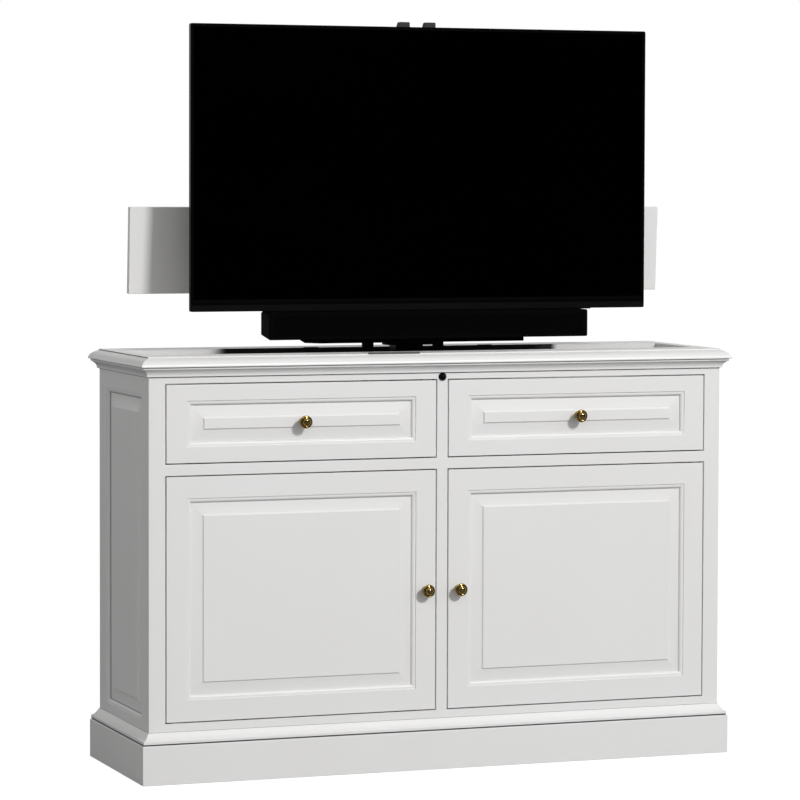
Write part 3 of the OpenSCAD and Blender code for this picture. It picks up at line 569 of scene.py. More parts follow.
class Bench:
    """Makes meshes and turns them into pieces of the model."""

    SAME_PLACE = 0.01 * MM
    SAME_CORNER = 0.001 * MM
    SOFT = math.radians(7.5)
    MOULDED = math.radians(24)
    ROUND = math.radians(35)
    BEND = math.radians(50)

    @staticmethod
    def piece(
        name: str,
        mesh: Union[bmesh.types.BMesh, bpy.types.Mesh],
        body: Body,
        finish: Finish,
        stands_for: Sequence[str] = (),
        even: bool = False,
    ) -> bpy.types.Object:
        """Puts a mesh in the model.

        Args:
            name: The piece's name.
            mesh: Its mesh, in the row frame.
            body: The body that it rides on.
            finish: Its finish.
            stands_for: The CAD nodes that it replaces.
            even: Whether large faces lead the shading.

        Returns:
            The new object.
        """
        if isinstance(mesh, bmesh.types.BMesh):
            loose = sum(1 for e in mesh.edges if len(e.link_faces) != 2)
            if loose:
                LOG.warning("%s has %d open edges", name, loose)
            data = bpy.data.meshes.new(name)
            mesh.to_mesh(data)
            mesh.free()
        else:
            data = mesh
        data.materials.clear()
        data.materials.append(finish.material())
        made = bpy.data.objects.new(name, data)
        bpy.context.scene.collection.objects.link(made)
        if even:
            weighted = made.modifiers.new("even_shading", "WEIGHTED_NORMAL")
            weighted.keep_sharp = True
        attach(made, body.value)
        if stands_for:
            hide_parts(*stands_for)
        LOG.info("%s: %d faces on %s", name, len(data.polygons), body.value)
        return made

    @staticmethod
    def dress(node: str, finish: Finish) -> None:
        """Gives a CAD node that stays a finish."""
        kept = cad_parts[node]
        for slot in kept.material_slots:
            slot.link = "OBJECT"
            slot.material = finish.material()
        LOG.info("%s: kept, %s", node, finish.name)

    @staticmethod
    def crease(bm: bmesh.types.BMesh, limit: float) -> None:
        """Marks edges that turn more than a limit as sharp and the rest as soft."""
        for face in bm.faces:
            face.smooth = True
        for edge in bm.edges:
            edge.smooth = (
                len(edge.link_faces) == 2 and edge.calc_face_angle(math.pi) < limit
            )

    @classmethod
    def merged(cls, node: str) -> bmesh.types.BMesh:
        """A CAD node's mesh in one piece, without the walls between its touching solids.

        Args:
            node: The CAD node.

        Returns:
            The mesh, with its triangles joined at their corners.
        """
        bm = bmesh.new()
        bm.from_mesh(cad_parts[node].data)
        places: dict[frozenset[tuple[int, ...]], list[bmesh.types.BMFace]] = {}
        for face in bm.faces:
            place = frozenset(tuple(round(c / cls.SAME_PLACE) for c in v.co) for v in face.verts)
            places.setdefault(place, []).append(face)
        walls = [face for same in places.values() if len(same) > 1 for face in same]
        bmesh.ops.delete(bm, geom=walls, context="FACES")
        bmesh.ops.remove_doubles(bm, verts=bm.verts, dist=cls.SAME_CORNER)
        return bm

    @classmethod
    def eased(
        cls,
        node: str,
        body: Body,
        finish: Finish,
        ease: float = 0.8 * MM,
        lowered: Optional[tuple[float, float, float]] = None,
    ) -> bpy.types.Object:
        """Replaces a CAD node by a merged copy whose outer edges are eased.

        Args:
            node: The CAD node.
            body: The body it rides on.
            finish: Its finish.
            ease: Width of the ease.
            lowered: A band of heights whose corners sink, and by how much.

        Returns:
            The new object.
        """
        bm = cls.merged(node)
        if lowered:
            low, high, drop = lowered
            for vert in bm.verts:
                if low < vert.co.z < high:
                    vert.co.z -= drop
        cls.ease_edges(bm, ease)
        return cls.piece(f"{node}_eased", bm, body, finish, (node,), even=True)

    @classmethod
    def ease_edges(cls, bm: bmesh.types.BMesh, ease: float) -> None:
        """Merges a mesh's flats and eases its outer edges.

        Args:
            bm: The mesh.
            ease: Width of the ease.
        """
        bmesh.ops.remove_doubles(bm, verts=bm.verts, dist=cls.SAME_CORNER)
        bmesh.ops.dissolve_limit(
            bm, angle_limit=math.radians(0.4), verts=bm.verts, edges=bm.edges
        )
        cls.crease(bm, cls.SOFT)
        sharp = [e for e in bm.edges if cls.takes_ease(e, ease)]
        made = bmesh.ops.bevel(
            bm, geom=sharp, offset=ease, segments=2, profile=0.5, affect="EDGES",
            clamp_overlap=True, harden_normals=False,
        )
        for face in made["faces"]:
            face.smooth = True
            for edge in face.edges:
                edge.smooth = edge.calc_face_angle(math.pi) < cls.BEND

    @classmethod
    def joined(
        cls, name: str, nodes: Sequence[str], body: Body, finish: Finish, ease: float
    ) -> bpy.types.Object:
        """Replaces glued CAD nodes by one eased piece without seams.

        Args:
            name: The piece's name.
            nodes: The CAD nodes.
            body: The body they ride on.
            finish: Their finish.
            ease: Width of the ease.

        Returns:
            The new object.
        """
        holders = []
        for node in nodes:
            bm = cls.merged(node)
            mesh = bpy.data.meshes.new(f"{node}_merged")
            bm.to_mesh(mesh)
            bm.free()
            made = bpy.data.objects.new(mesh.name, mesh)
            bpy.context.scene.collection.objects.link(made)
            holders.append(made)
        for other in holders[1:]:
            union = holders[0].modifiers.new("glue", "BOOLEAN")
            union.operation = "UNION"
            union.solver = "EXACT"
            union.object = other
        graph = bpy.context.evaluated_depsgraph_get()
        bm = bmesh.new()
        bm.from_object(holders[0], graph)
        for made in holders:
            bpy.data.objects.remove(made)
        cls.ease_edges(bm, ease)
        return cls.piece(name, bm, body, finish, tuple(nodes), even=True)

    @staticmethod
    def takes_ease(edge: bmesh.types.BMEdge, ease: float) -> bool:
        """Whether an edge is an outer corner, long enough and away from a glued mitre."""
        if len(edge.link_faces) != 2 or edge.calc_length() < 4 * ease:
            return False
        if not edge.is_convex or edge.calc_face_angle() < Bench.BEND:
            return False
        return all(
            min(abs(f.normal.x), abs(f.normal.y)) < 0.5 for f in edge.link_faces
        )

    @staticmethod
    def box(bm: bmesh.types.BMesh, low: Point, high: Point, ease: float) -> None:
        """Adds a box with eased edges.

        Args:
            bm: The mesh to add to.
            low: Its lowest corner.
            high: Its highest corner.
            ease: Width of the ease.
        """
        middle = (Vector(low) + Vector(high)) / 2
        size = Vector(high) - Vector(low)
        cube = bmesh.ops.create_cube(
            bm, size=1.0, matrix=Matrix.LocRotScale(middle, None, size)
        )
        edges = list({e for v in cube["verts"] for e in v.link_edges})
        made = bmesh.ops.bevel(
            bm, geom=edges, offset=ease, segments=2, profile=0.5, affect="EDGES"
        )
        for face in made["faces"]:
            face.smooth = True

    @staticmethod
    def ring(
        bm: bmesh.types.BMesh,
        around: Rect,
        section: Sequence[tuple[float, float]],
        inside: Sequence[tuple[Rect, float]] = (),
    ) -> None:
        """Adds a mitred ring round a rectangle.

        Args:
            bm: The mesh to add to.
            around: The rectangle's left, front, right and back.
            section: The section, as distance out from the rectangle and height.
            inside: Rectangles of their own with their heights, which close the section.
        """
        x0, y0, x1, y1 = around
        loops = [
            [
                bm.verts.new((x, y, z))
                for x, y in (
                    (x0 - out, y0 - out), (x1 + out, y0 - out),
                    (x1 + out, y1 + out), (x0 - out, y1 + out),
                )
            ]
            for out, z in section
        ]
        loops += [
            [bm.verts.new((x, y, z)) for x, y in ((a, b), (c, b), (c, d), (a, d))]
            for (a, b, c, d), z in inside
        ]
        faces = []
        for first, second in zip(loops, loops[1:] + loops[:1]):
            for i in range(4):
                j = (i + 1) % 4
                faces.append(bm.faces.new((first[i], first[j], second[j], second[i])))
        bmesh.ops.recalc_face_normals(bm, faces=faces)

    @staticmethod
    def turned(
        bm: bmesh.types.BMesh,
        profile: Sequence[tuple[float, float]],
        foot: Point,
        axis: Point,
        steps: int = 64,
    ) -> None:
        """Adds a turned solid.

        Args:
            bm: The mesh to add to.
            profile: Radius and height in millimetres, from the middle of one end to the other.
            foot: Where the height is 0.
            axis: The way the height grows.
            steps: Faces round the turn.
        """
        turn = Vector((0, 0, 1)).rotation_difference(Vector(axis)).to_matrix()
        rings: list[list[bmesh.types.BMVert]] = []
        for radius, height in profile:
            count = steps if radius > 0 else 1
            rings.append(
                [
                    bm.verts.new(
                        Vector(foot)
                        + turn
                        @ Vector(
                            (
                                radius * math.cos(2 * math.pi * i / steps) * MM,
                                radius * math.sin(2 * math.pi * i / steps) * MM,
                                height * MM,
                            )
                        )
                    )
                    for i in range(count)
                ]
            )
        faces = []
        for first, second in zip(rings, rings[1:]):
            for i in range(steps):
                j = (i + 1) % steps
                ring = [first[i % len(first)], first[j % len(first)]]
                ring += [second[j % len(second)], second[i % len(second)]]
                faces.append(bm.faces.new(list(dict.fromkeys(ring))))
        bmesh.ops.recalc_face_normals(bm, faces=faces)


class Pattern:
    """Geometry Nodes trees that repeat a small part."""

    def __init__(self, name: str, inputs: Mapping[str, str]) -> None:
        """Args:
        name: The tree's name.
        inputs: The kind of each named input.
        """
        self.tree = bpy.data.node_groups.new(name, "GeometryNodeTree")
        self.nodes = Nodes(self.tree)
        for key, kind in {**inputs, "Finish": "NodeSocketMaterial"}.items():
            self.tree.interface.new_socket(key, in_out="INPUT", socket_type=kind)
        self.tree.interface.new_socket(
            "Result", in_out="OUTPUT", socket_type="NodeSocketGeometry"
        )
        self.given = self.nodes.node("NodeGroupInput")

    def asked(self, key: str) -> Sock:
        """One of the tree's named inputs."""
        return self.nodes.out(self.given, key)

    def close(self, instances: Sock) -> None:
        """Ends the tree in real geometry with its material."""
        real = self.nodes.node("GeometryNodeRealizeInstances", {}, {0: instances})
        dressed = self.nodes.node(
            "GeometryNodeSetMaterial",
            {},
            {"Geometry": self.nodes.out(real), "Material": self.asked("Finish")},
        )
        self.nodes.node("NodeGroupOutput", {}, {0: self.nodes.out(dressed)})

    def bake(
        self, name: str, base: bpy.types.Mesh, body: Body, finish: Finish, **values: Any
    ) -> bpy.types.Object:
        """Runs the tree on a mesh and keeps the result as a piece.

        Args:
            name: The piece's name.
            base: The mesh that the tree starts from.
            body: The body that the piece rides on.
            finish: Its finish.
            values: The named inputs, with spaces written as underscores.

        Returns:
            The new piece.
        """
        holder = bpy.data.objects.new(f"{name}_base", base)
        bpy.context.scene.collection.objects.link(holder)
        repeat = holder.modifiers.new("repeat", "NODES")
        repeat.node_group = self.tree
        wanted = {k.replace("_", " "): v for k, v in values.items()}
        wanted["Finish"] = finish.material()
        for item in self.tree.interface.items_tree:
            if item.in_out == "INPUT" and item.name in wanted:
                repeat[item.identifier] = wanted[item.name]
        graph = bpy.context.evaluated_depsgraph_get()
        mesh = bpy.data.meshes.new_from_object(holder.evaluated_get(graph), depsgraph=graph)
        holder.modifiers.remove(repeat)
        bpy.data.objects.remove(holder)
        mesh.name = name
        return Bench.piece(name, mesh, body, finish)


class OnPoints(Pattern):
    """Sets a part on each point, facing the point's way, turned by chance about that way."""

    def __init__(self) -> None:
        """Builds the tree."""
        super().__init__(
            "set_on_points",
            {
                "Points": "NodeSocketGeometry",
                "Part": "NodeSocketObject",
                "Size": "NodeSocketFloat",
                "Seed": "NodeSocketInt",
            },
        )
        n = self.nodes
        aim = n.node(
            "GeometryNodeInputNamedAttribute", {"data_type": "FLOAT_VECTOR"}, {"Name": "aim"}
        )
        facing = n.node(
            "FunctionNodeAlignRotationToVector", {"axis": "Z"}, {"Vector": n.out(aim)}
        )
        chance = n.node("FunctionNodeRandomValue", {"data_type": "FLOAT"})
        n.tree.links.new(self.asked("Seed").socket, chance.inputs["Seed"])
        angle = n.out(chance, 1) * math.pi
        spin = n.node("ShaderNodeCombineXYZ", {}, {2: angle})
        turn = n.node("FunctionNodeEulerToRotation", {}, {0: n.out(spin)})
        turned = n.node(
            "FunctionNodeRotateRotation",
            {"rotation_space": "LOCAL"},
            {0: n.out(facing), 1: n.out(turn)},
        )
        part = n.node("GeometryNodeObjectInfo", {}, {"Object": self.asked("Part")})
        placed = n.node(
            "GeometryNodeInstanceOnPoints",
            {},
            {
                "Points": self.asked("Points"),
                "Instance": n.out(part, "Geometry"),
                "Rotation": n.out(turned),
                "Scale": self.asked("Size"),
            },
        )
        self.close(n.out(placed))

    def set(
        self,
        name: str,
        spots: Sequence[Spot],
        part: bpy.types.Object,
        body: Body,
        finish: Finish,
        seed: int = 7,
    ) -> bpy.types.Object:
        """Puts the part on each spot.

        Args:
            name: The new piece's name.
            spots: Place and facing of each.
            part: The part to repeat.
            body: The body it rides on.
            finish: Its finish.
            seed: Seed of the chance turns.

        Returns:
            The piece.
        """
        base = bpy.data.meshes.new(f"{name}_points")
        base.from_pydata([Vector(at) for at, _ in spots], [], [])
        aims = base.attributes.new("aim", "FLOAT_VECTOR", "POINT")
        aims.data.foreach_set("vector", [c for _, way in spots for c in way])
        return self.bake(name, base, body, finish, Part=part, Size=1.0, Seed=seed)


class OnGrid(Pattern):
    """Sets a part on an upright grid."""

    def __init__(self) -> None:
        """Builds the tree."""
        super().__init__(
            "set_on_grid",
            {
                "Start": "NodeSocketGeometry",
                "Part": "NodeSocketObject",
                "Width": "NodeSocketFloat",
                "Height": "NodeSocketFloat",
                "Columns": "NodeSocketInt",
                "Rows": "NodeSocketInt",
                "Middle": "NodeSocketVector",
            },
        )
        n = self.nodes
        flat = n.node(
            "GeometryNodeMeshGrid",
            {},
            {
                "Size X": self.asked("Width"),
                "Size Y": self.asked("Height"),
                "Vertices X": self.asked("Columns"),
                "Vertices Y": self.asked("Rows"),
            },
        )
        upright = n.node(
            "GeometryNodeTransform",
            {},
            {
                "Geometry": n.out(flat),
                "Translation": self.asked("Middle"),
                "Rotation": (math.pi / 2, 0.0, 0.0),
            },
        )
        part = n.node("GeometryNodeObjectInfo", {}, {"Object": self.asked("Part")})
        placed = n.node(
            "GeometryNodeInstanceOnPoints",
            {},
            {"Points": n.out(upright), "Instance": n.out(part, "Geometry")},
        )
        self.close(n.out(placed))


@dataclass
class Hardware:
    """The patterns that set screws and louvres, and the parts that they repeat."""

    points: OnPoints = field(default_factory=OnPoints)
    grid: OnGrid = field(default_factory=OnGrid)

    def part(self, name: str, bm: bmesh.types.BMesh) -> bpy.types.Object:
        """A helper object that a pattern repeats."""
        mesh = bpy.data.meshes.new(name)
        bm.to_mesh(mesh)
        bm.free()
        made = bpy.data.objects.new(name, mesh)
        bpy.context.scene.collection.objects.link(made)
        return made

    def drop(self, part: bpy.types.Object) -> None:
        """Takes a helper away once its pattern is baked."""
        bpy.data.objects.remove(part)

    def screw(self, radius: float, proud: float) -> bpy.types.Object:
        """A pan head with a cross recess.

        Args:
            radius: The head's radius in millimetres.
            proud: How far it stands out in millimetres.

        Returns:
            The helper object.
        """
        bm = bmesh.new()
        arm, wide, deep = radius * 0.58, radius * 0.16, proud * 0.55
        steps, corners = 24, 12
        cross: list[tuple[float, float]] = []
        for k in range(4):
            c, s = math.cos(k * math.pi / 2), math.sin(k * math.pi / 2)
            for x, y in ((wide, -wide), (arm, -wide), (arm, wide)):
                cross.append((x * c - y * s, x * s + y * c))
        top = [bm.verts.new((x * MM, y * MM, proud * MM)) for x, y in cross]
        floor = [bm.verts.new((x * MM, y * MM, (proud - deep) * MM)) for x, y in cross]
        rim, skirt, base = [
            [
                bm.verts.new(
                    (
                        r * MM * math.cos(2 * math.pi * i / steps),
                        r * MM * math.sin(2 * math.pi * i / steps),
                        h * MM,
                    )
                )
                for i in range(steps)
            ]
            for r, h in ((radius * 0.82, proud), (radius, proud * 0.55), (radius, -0.4))
        ]
        bm.faces.new(floor)
        for i in range(corners):
            j = (i + 1) % corners
            bm.faces.new((top[i], top[j], floor[j], floor[i]))
        for low, high in ((skirt, rim), (base, skirt)):
            for i in range(steps):
                j = (i + 1) % steps
                bm.faces.new((low[i], low[j], high[j], high[i]))
        bm.faces.new(base[::-1])
        edges = [bm.edges.get((top[i], top[(i + 1) % corners])) for i in range(corners)]
        edges += [bm.edges.get((rim[i], rim[(i + 1) % steps])) for i in range(steps)]
        bmesh.ops.triangle_fill(bm, edges=edges, use_beauty=True)
        bmesh.ops.recalc_face_normals(bm, faces=bm.faces)
        Bench.crease(bm, math.radians(40))
        return self.part("screw_head", bm)

    def screws(
        self,
        name: str,
        spots: Sequence[Spot],
        body: Body,
        finish: Finish = ZINC,
        radius: float = 3.6,
        proud: float = 1.4,
    ) -> None:
        """Sets screws.

        Args:
            name: The new piece's name.
            spots: Place and facing of each.
            body: The body they ride on.
            finish: Their finish.
            radius: Radius of a head in millimetres.
            proud: How far a head stands out in millimetres.
        """
        head = self.screw(radius, proud)
        self.points.set(name, spots, head, body, finish)
        self.drop(head)


@dataclass
class Carcass:
    """Plinth, sides, face frame, mouldings, back and what is inside them."""

    hardware: Hardware
    ease: float = 0.8 * MM
    screw_step: float = 0.21
    screw_inset: float = 0.012
    felt_longer: float = 9 * MM
    felt_higher: float = 1.8 * MM
    pad_x: float = 0.205
    pad_w: float = 0.032
    pad_rise: float = 2.4 * MM
    # The side panels' lower corners lie a little lower than in the solids.
    lower: float = 4.5 * MM
    lower_from: float = 0.11
    lower_to: float = 0.30
    # How deep a painted shadow line reaches, and the gap from the body's side to the edge of its
    # panel.
    shade_depth: float = 1.2 * MM
    panel_in: tuple[float, float] = (6.9 * MM, 9.0 * MM)
    panel_gap: float = 3.5 * MM
    # Sections: distance out from the body and height over the moulding's foot, in millimetres.
    cove: Profile = (
        (-1.0, 0.0), (4.2, 0.0), (4.5, 0.3), (4.6, 2.8), (5.0, 4.8), (5.8, 6.8), (7.0, 8.8),
        (8.6, 10.8), (10.6, 12.7), (12.6, 14.2), (14.2, 15.1), (15.4, 15.6), (15.8, 16.0),
        (15.8, 19.3), (15.3, 19.9), (-1.0, 19.9),
    )
    ogee: Profile = (
        (-1.0, 0.2), (11.8, 0.2), (11.8, 2.6), (12.2, 3.0), (15.0, 3.0), (15.4, 3.4), (15.4, 8.2),
        (15.0, 8.8), (13.4, 9.6), (11.4, 10.8), (9.4, 12.4), (7.6, 14.4), (6.1, 16.6), (4.7, 19.0),
        (3.3, 21.4), (2.2, 23.2), (1.4, 24.4), (0.9, 25.0), (-1.0, 25.0),
    )

    def build(self) -> None:
        """Builds every piece of the carcass."""
        Bench.joined(
            "face_frame", ("face_stiles", "face_rails"), Body.CABINET, PAINT_UP, self.ease
        )
        self.moulding("cornice", "cornice_moulding", self.cove)
        self.moulding("base_ogee", "base_moulding", self.ogee)
        for node in ("plinth_front", "bottom_board", "plinth_rear"):
            Bench.eased(node, Body.CABINET, PAINT_ACROSS, self.ease)
        Bench.eased("plinth_sides", Body.CABINET, PAINT_DEEP, self.ease)
        lowered = (self.lower_from, self.lower_to, self.lower)
        for side in Side:
            for part in ("frame", "panel"):
                node = f"side_{part}_{side.value}"
                Bench.eased(node, Body.CABINET, PAINT_UP, self.ease, lowered)
        Bench.eased("back_panel", Body.CABINET, PAINT_UP, self.ease)
        for node in ("drawer_shelf", "drawer_guides"):
            Bench.eased(node, Body.CABINET, PLY, 0.5 * MM)
        Bench.dress("door_pivot_pins", ZINC)
        Bench.eased("door_catches", Body.CABINET, WHITE, 0.6 * MM)
        Bench.dress("cable_bushing", RUBBER)
        self.felt()
        self.shadow_lines()
        self.sensor()
        self.back_screws()
        self.edge_pads()

    def moulding(self, name: str, node: str, section: Profile) -> None:
        """Runs a moulding round the body, mitred at the corners.

        Args:
            name: The piece's name.
            node: The CAD node that it replaces.
            section: Its section.
        """
        low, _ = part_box(node)
        bm = bmesh.new()
        Bench.ring(bm, body_outline(), [(out * MM, low.z + up * MM) for out, up in section])
        Bench.crease(bm, Bench.MOULDED)
        Bench.piece(name, bm, Body.CABINET, PAINT_ACROSS, (node,))

    def felt(self) -> None:
        """The felt strip on the rear edge of the opening, standing a little above it, with painted
        soft shade at its ends.
        """
        low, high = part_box("opening_felt")
        end = (high.x + self.felt_longer, high.y, high.z + self.felt_higher)
        bm = bmesh.new()
        Bench.box(bm, tuple(low), end, 0.4 * MM)
        Bench.piece("felt_strip", bm, Body.CABINET, FELT_STRIP, ("opening_felt",))

    def shadow_lines(self) -> None:
        """Painted shadow lines: near-black strips that stand in for the shade in the gaps at the
        top, the mouldings and the side panels.
        """
        body = body_outline()
        x0, y0, x1, y1 = body
        narrow = (x0, y0 + 2 * MM, x1, y1 - 2 * MM)
        cornice, cornice_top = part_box("cornice_moulding")
        base, base_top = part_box("base_moulding")
        _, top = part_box("top_front")
        bm = bmesh.new()
        # Each painted shadow ring: what it goes round, how far out, its upper edge and its height.
        for around, out, z, tall in (
            (body, 16.0 * MM, cornice_top.z - 0.1 * MM, 0.8 * MM),
            (body, 0.2 * MM, cornice.z, 1.6 * MM),
            (narrow, 1.3 * MM, top.z - 1.3 * MM, 1.2 * MM),
            (body, 12.0 * MM, base.z + 2.2 * MM, 1.7 * MM),
            (narrow, 15.2 * MM, base.z + 3.1 * MM, 2.8 * MM),
            (body, 0.2 * MM, base_top.z + 0.5 * MM, 0.5 * MM),
        ):
            deep = out - self.shade_depth
            Bench.ring(bm, around, ((out, z - tall), (out, z), (deep, z), (deep, z - tall)))
        # Painted shadow lines along the side panels' rear, lower and upper edges, on both sides.
        low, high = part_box("side_panel_left")
        foot = low.z - self.lower
        for turned in (1, -1):
            near, far = sorted(turned * (x0 + gap) for gap in self.panel_in)
            for front, bottom, upper in (
                (high.y - self.panel_gap, foot, high.z),
                (low.y, foot, foot + MM),
                (low.y, high.z - MM, high.z),
            ):
                Bench.box(bm, (near, front, bottom), (far, high.y, upper), 0.05 * MM)
        Bench.piece("paint_crevices", bm, Body.CABINET, SHADE)

    def sensor(self) -> None:
        """The remote control's eye: a ring with a domed lens."""
        low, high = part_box("remote_sensor")
        foot = ((low.x + high.x) / 2 - 0.5 * MM, high.y, (low.z + high.z) / 2 - 0.9 * MM)
        radius = (high.x - low.x) / 2 / MM + 0.7
        out = (high.y - low.y) / MM
        dome, rim, steps = radius - 1.2, 1.2, 10
        profile = [(0, 0), (radius - 0.3, 0), (radius, 0.4), (radius, 1.1), (radius - 0.4, 1.5)]
        profile += [(dome + 0.3, 1.6), (dome, rim)]
        profile += [
            (dome * math.cos(a), rim + (out - rim) * math.sin(a))
            for a in (math.pi / 2 * i / steps for i in range(1, steps))
        ]
        bm = bmesh.new()
        Bench.turned(bm, profile + [(0, out)], foot, (0, -1, 0), 48)
        Bench.crease(bm, Bench.ROUND)
        Bench.piece("remote_eye", bm, Body.CABINET, LENS, ("remote_sensor",))

    def back_screws(self) -> None:
        """Screws round the back panel."""
        low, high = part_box("back_panel")
        inset, y = self.screw_inset, high.y
        wide = int((high.x - low.x) / self.screw_step)
        tall = int((high.z - low.z) / self.screw_step)
        spots: list[Spot] = []
        for i in range(wide + 1):
            x = low.x + inset + (high.x - low.x - 2 * inset) * i / wide
            spots += [((x, y, z), (0, 1, 0)) for z in (low.z + inset, high.z - inset)]
        for i in range(1, tall):
            z = low.z + inset + (high.z - low.z - 2 * inset) * i / tall
            spots += [((x, y, z), (0, 1, 0)) for x in (low.x + inset, high.x - inset)]
        self.hardware.screws("back_screws", spots, Body.CABINET, proud=1.2)

    def edge_pads(self) -> None:
        """Two felt pads, each bent over the rear edge of the opening."""
        _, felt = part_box("opening_felt")
        _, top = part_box("top_back")
        face, behind, high = felt.y - 1.6 * MM, felt.y + 7 * MM, top.z + self.pad_rise
        bm = bmesh.new()
        for x in (-self.pad_x, self.pad_x):
            left, right = x - self.pad_w / 2, x + self.pad_w / 2
            Bench.box(bm, (left, face, felt.z - 6 * MM), (right, felt.y, high), 0.4 * MM)
            Bench.box(bm, (left, felt.y - 0.4 * MM, top.z), (right, behind, high), 0.4 * MM)
        Bench.piece("edge_pads", bm, Body.CABINET, FELT)


@dataclass
class TopBoards:
    """The nosed top round the opening, and a dark grey strip on its front edge."""

    slot_wider: float = 2 * MM
    strip_left: float = -0.1695
    strip_right: float = -0.0525
    strip_half: float = 1.5 * MM
    strip_rise: float = 2.9 * MM
    # The nosing's section, as the mouldings' are given.
    nose: Profile = (
        (14.0, 0.2), (19.2, 0.2), (20.0, 0.5), (20.4, 1.2), (20.5, 2.2), (20.1, 4.2), (19.2, 6.4),
        (17.9, 8.6), (16.3, 10.6), (14.4, 12.4), (12.2, 14.1), (9.8, 15.6), (7.0, 17.0),
        (4.1, 18.3), (1.2, 19.4), (1.0, 19.7), (1.0, 21.4), (0.4, 22.0),
    )

    def build(self) -> None:
        """Builds the top as one piece round the opening, and its dark strip."""
        low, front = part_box("top_front")
        rear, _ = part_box("top_back")
        lid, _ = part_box("lid_board")
        slot = (lid.x - self.slot_wider, front.y, -lid.x + self.slot_wider, rear.y)
        section = [(out * MM, low.z + up * MM) for out, up in self.nose]
        bm = bmesh.new()
        Bench.ring(bm, body_outline(), section, [(slot, front.z), (slot, section[0][1])])
        Bench.crease(bm, Bench.MOULDED)
        boards = ("top_front", "top_back", "top_sides")
        Bench.piece("top_nosed", bm, Body.CABINET, PAINT_ACROSS, boards, even=True)
        self.dark_strip()

    def dark_strip(self) -> None:
        """A short dark grey strip standing on the front board, left of the middle."""
        _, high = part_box("top_front")
        _, face, _, _ = body_outline()
        bm = bmesh.new()
        Bench.box(
            bm,
            (self.strip_left, face - self.strip_half, high.z - self.strip_half),
            (self.strip_right, face + self.strip_half, high.z + self.strip_rise),
            0.4 * MM,
        )
        Bench.piece("rim_stop", bm, Body.CABINET, DARK_STRIP)


@dataclass
class Knobs:
    """Four turned brass knobs: a waisted foot, a wide shoulder and a domed button."""

    steps: int = 72
    # Radius and height in millimetres, from the middle of the foot to the top of the button.
    profile: Profile = (
        (0, 0), (7.6, 0), (8.7, 0.2), (9.0, 0.8), (9.0, 1.9), (8.6, 2.6), (7.9, 2.8),
        (7.6, 3.2), (7.7, 3.8), (7.3, 4.3), (6.5, 4.8), (5.9, 5.7), (5.6, 7.2), (5.6, 8.6),
        (5.9, 10.0), (6.6, 11.3), (7.9, 12.4), (9.6, 13.3), (11.2, 14.4), (12.6, 15.9),
        (13.5, 17.8), (13.9, 19.4), (13.9, 20.6), (13.5, 21.8), (12.7, 22.9), (11.6, 23.6),
        (10.5, 23.9), (9.7, 23.7), (9.2, 23.3), (8.9, 23.4), (8.75, 24.2), (8.3, 25.7),
        (7.5, 27.1), (6.4, 28.3), (5.1, 29.1), (3.6, 29.7), (2.1, 29.95), (1.0, 30.0), (0, 30.0),
    )

    def build(self) -> None:
        """Builds the knobs on their doors and drawers."""
        for side in Side:
            for front in (f"drawer_{side.value}", f"door_{side.value}"):
                self.knob(f"{front}_knob", Body(front))

    def knob(self, node: str, body: Body) -> None:
        """Turns one knob in its CAD node's place."""
        low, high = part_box(node)
        foot = ((low.x + high.x) / 2, high.y, (low.z + high.z) / 2)
        longer = (high.y - low.y) / MM - max(h for _, h in self.profile)
        shape = [(r, h + (longer if h > 0 else 0)) for r, h in self.profile]
        bm = bmesh.new()
        Bench.turned(bm, shape, foot, (0, -1, 0), self.steps)
        Bench.crease(bm, math.radians(38))
        Bench.piece(f"{node}_turned", bm, body, BRASS, (node,))


@dataclass
class Fronts:
    """Doors and drawers: framed and raised panels, and the drawer boxes."""

    ease: float = 0.7 * MM
    panel_ease: float = 0.4 * MM

    def build(self) -> None:
        """Builds both doors and both drawers."""
        for side in Side:
            door = f"door_{side.value}"
            drawer = f"drawer_{side.value}"
            Bench.eased(f"{door}_frame", Body(door), PAINT_UP, self.ease)
            Bench.eased(f"{door}_panel", Body(door), PAINT_UP, self.panel_ease)
            Bench.eased(f"{drawer}_frame", Body(drawer), PAINT_ACROSS, self.ease)
            Bench.eased(f"{drawer}_panel", Body(drawer), PAINT_ACROSS, self.panel_ease)
            Bench.eased(f"{drawer}_box", Body(drawer), PLY, 0.5 * MM)


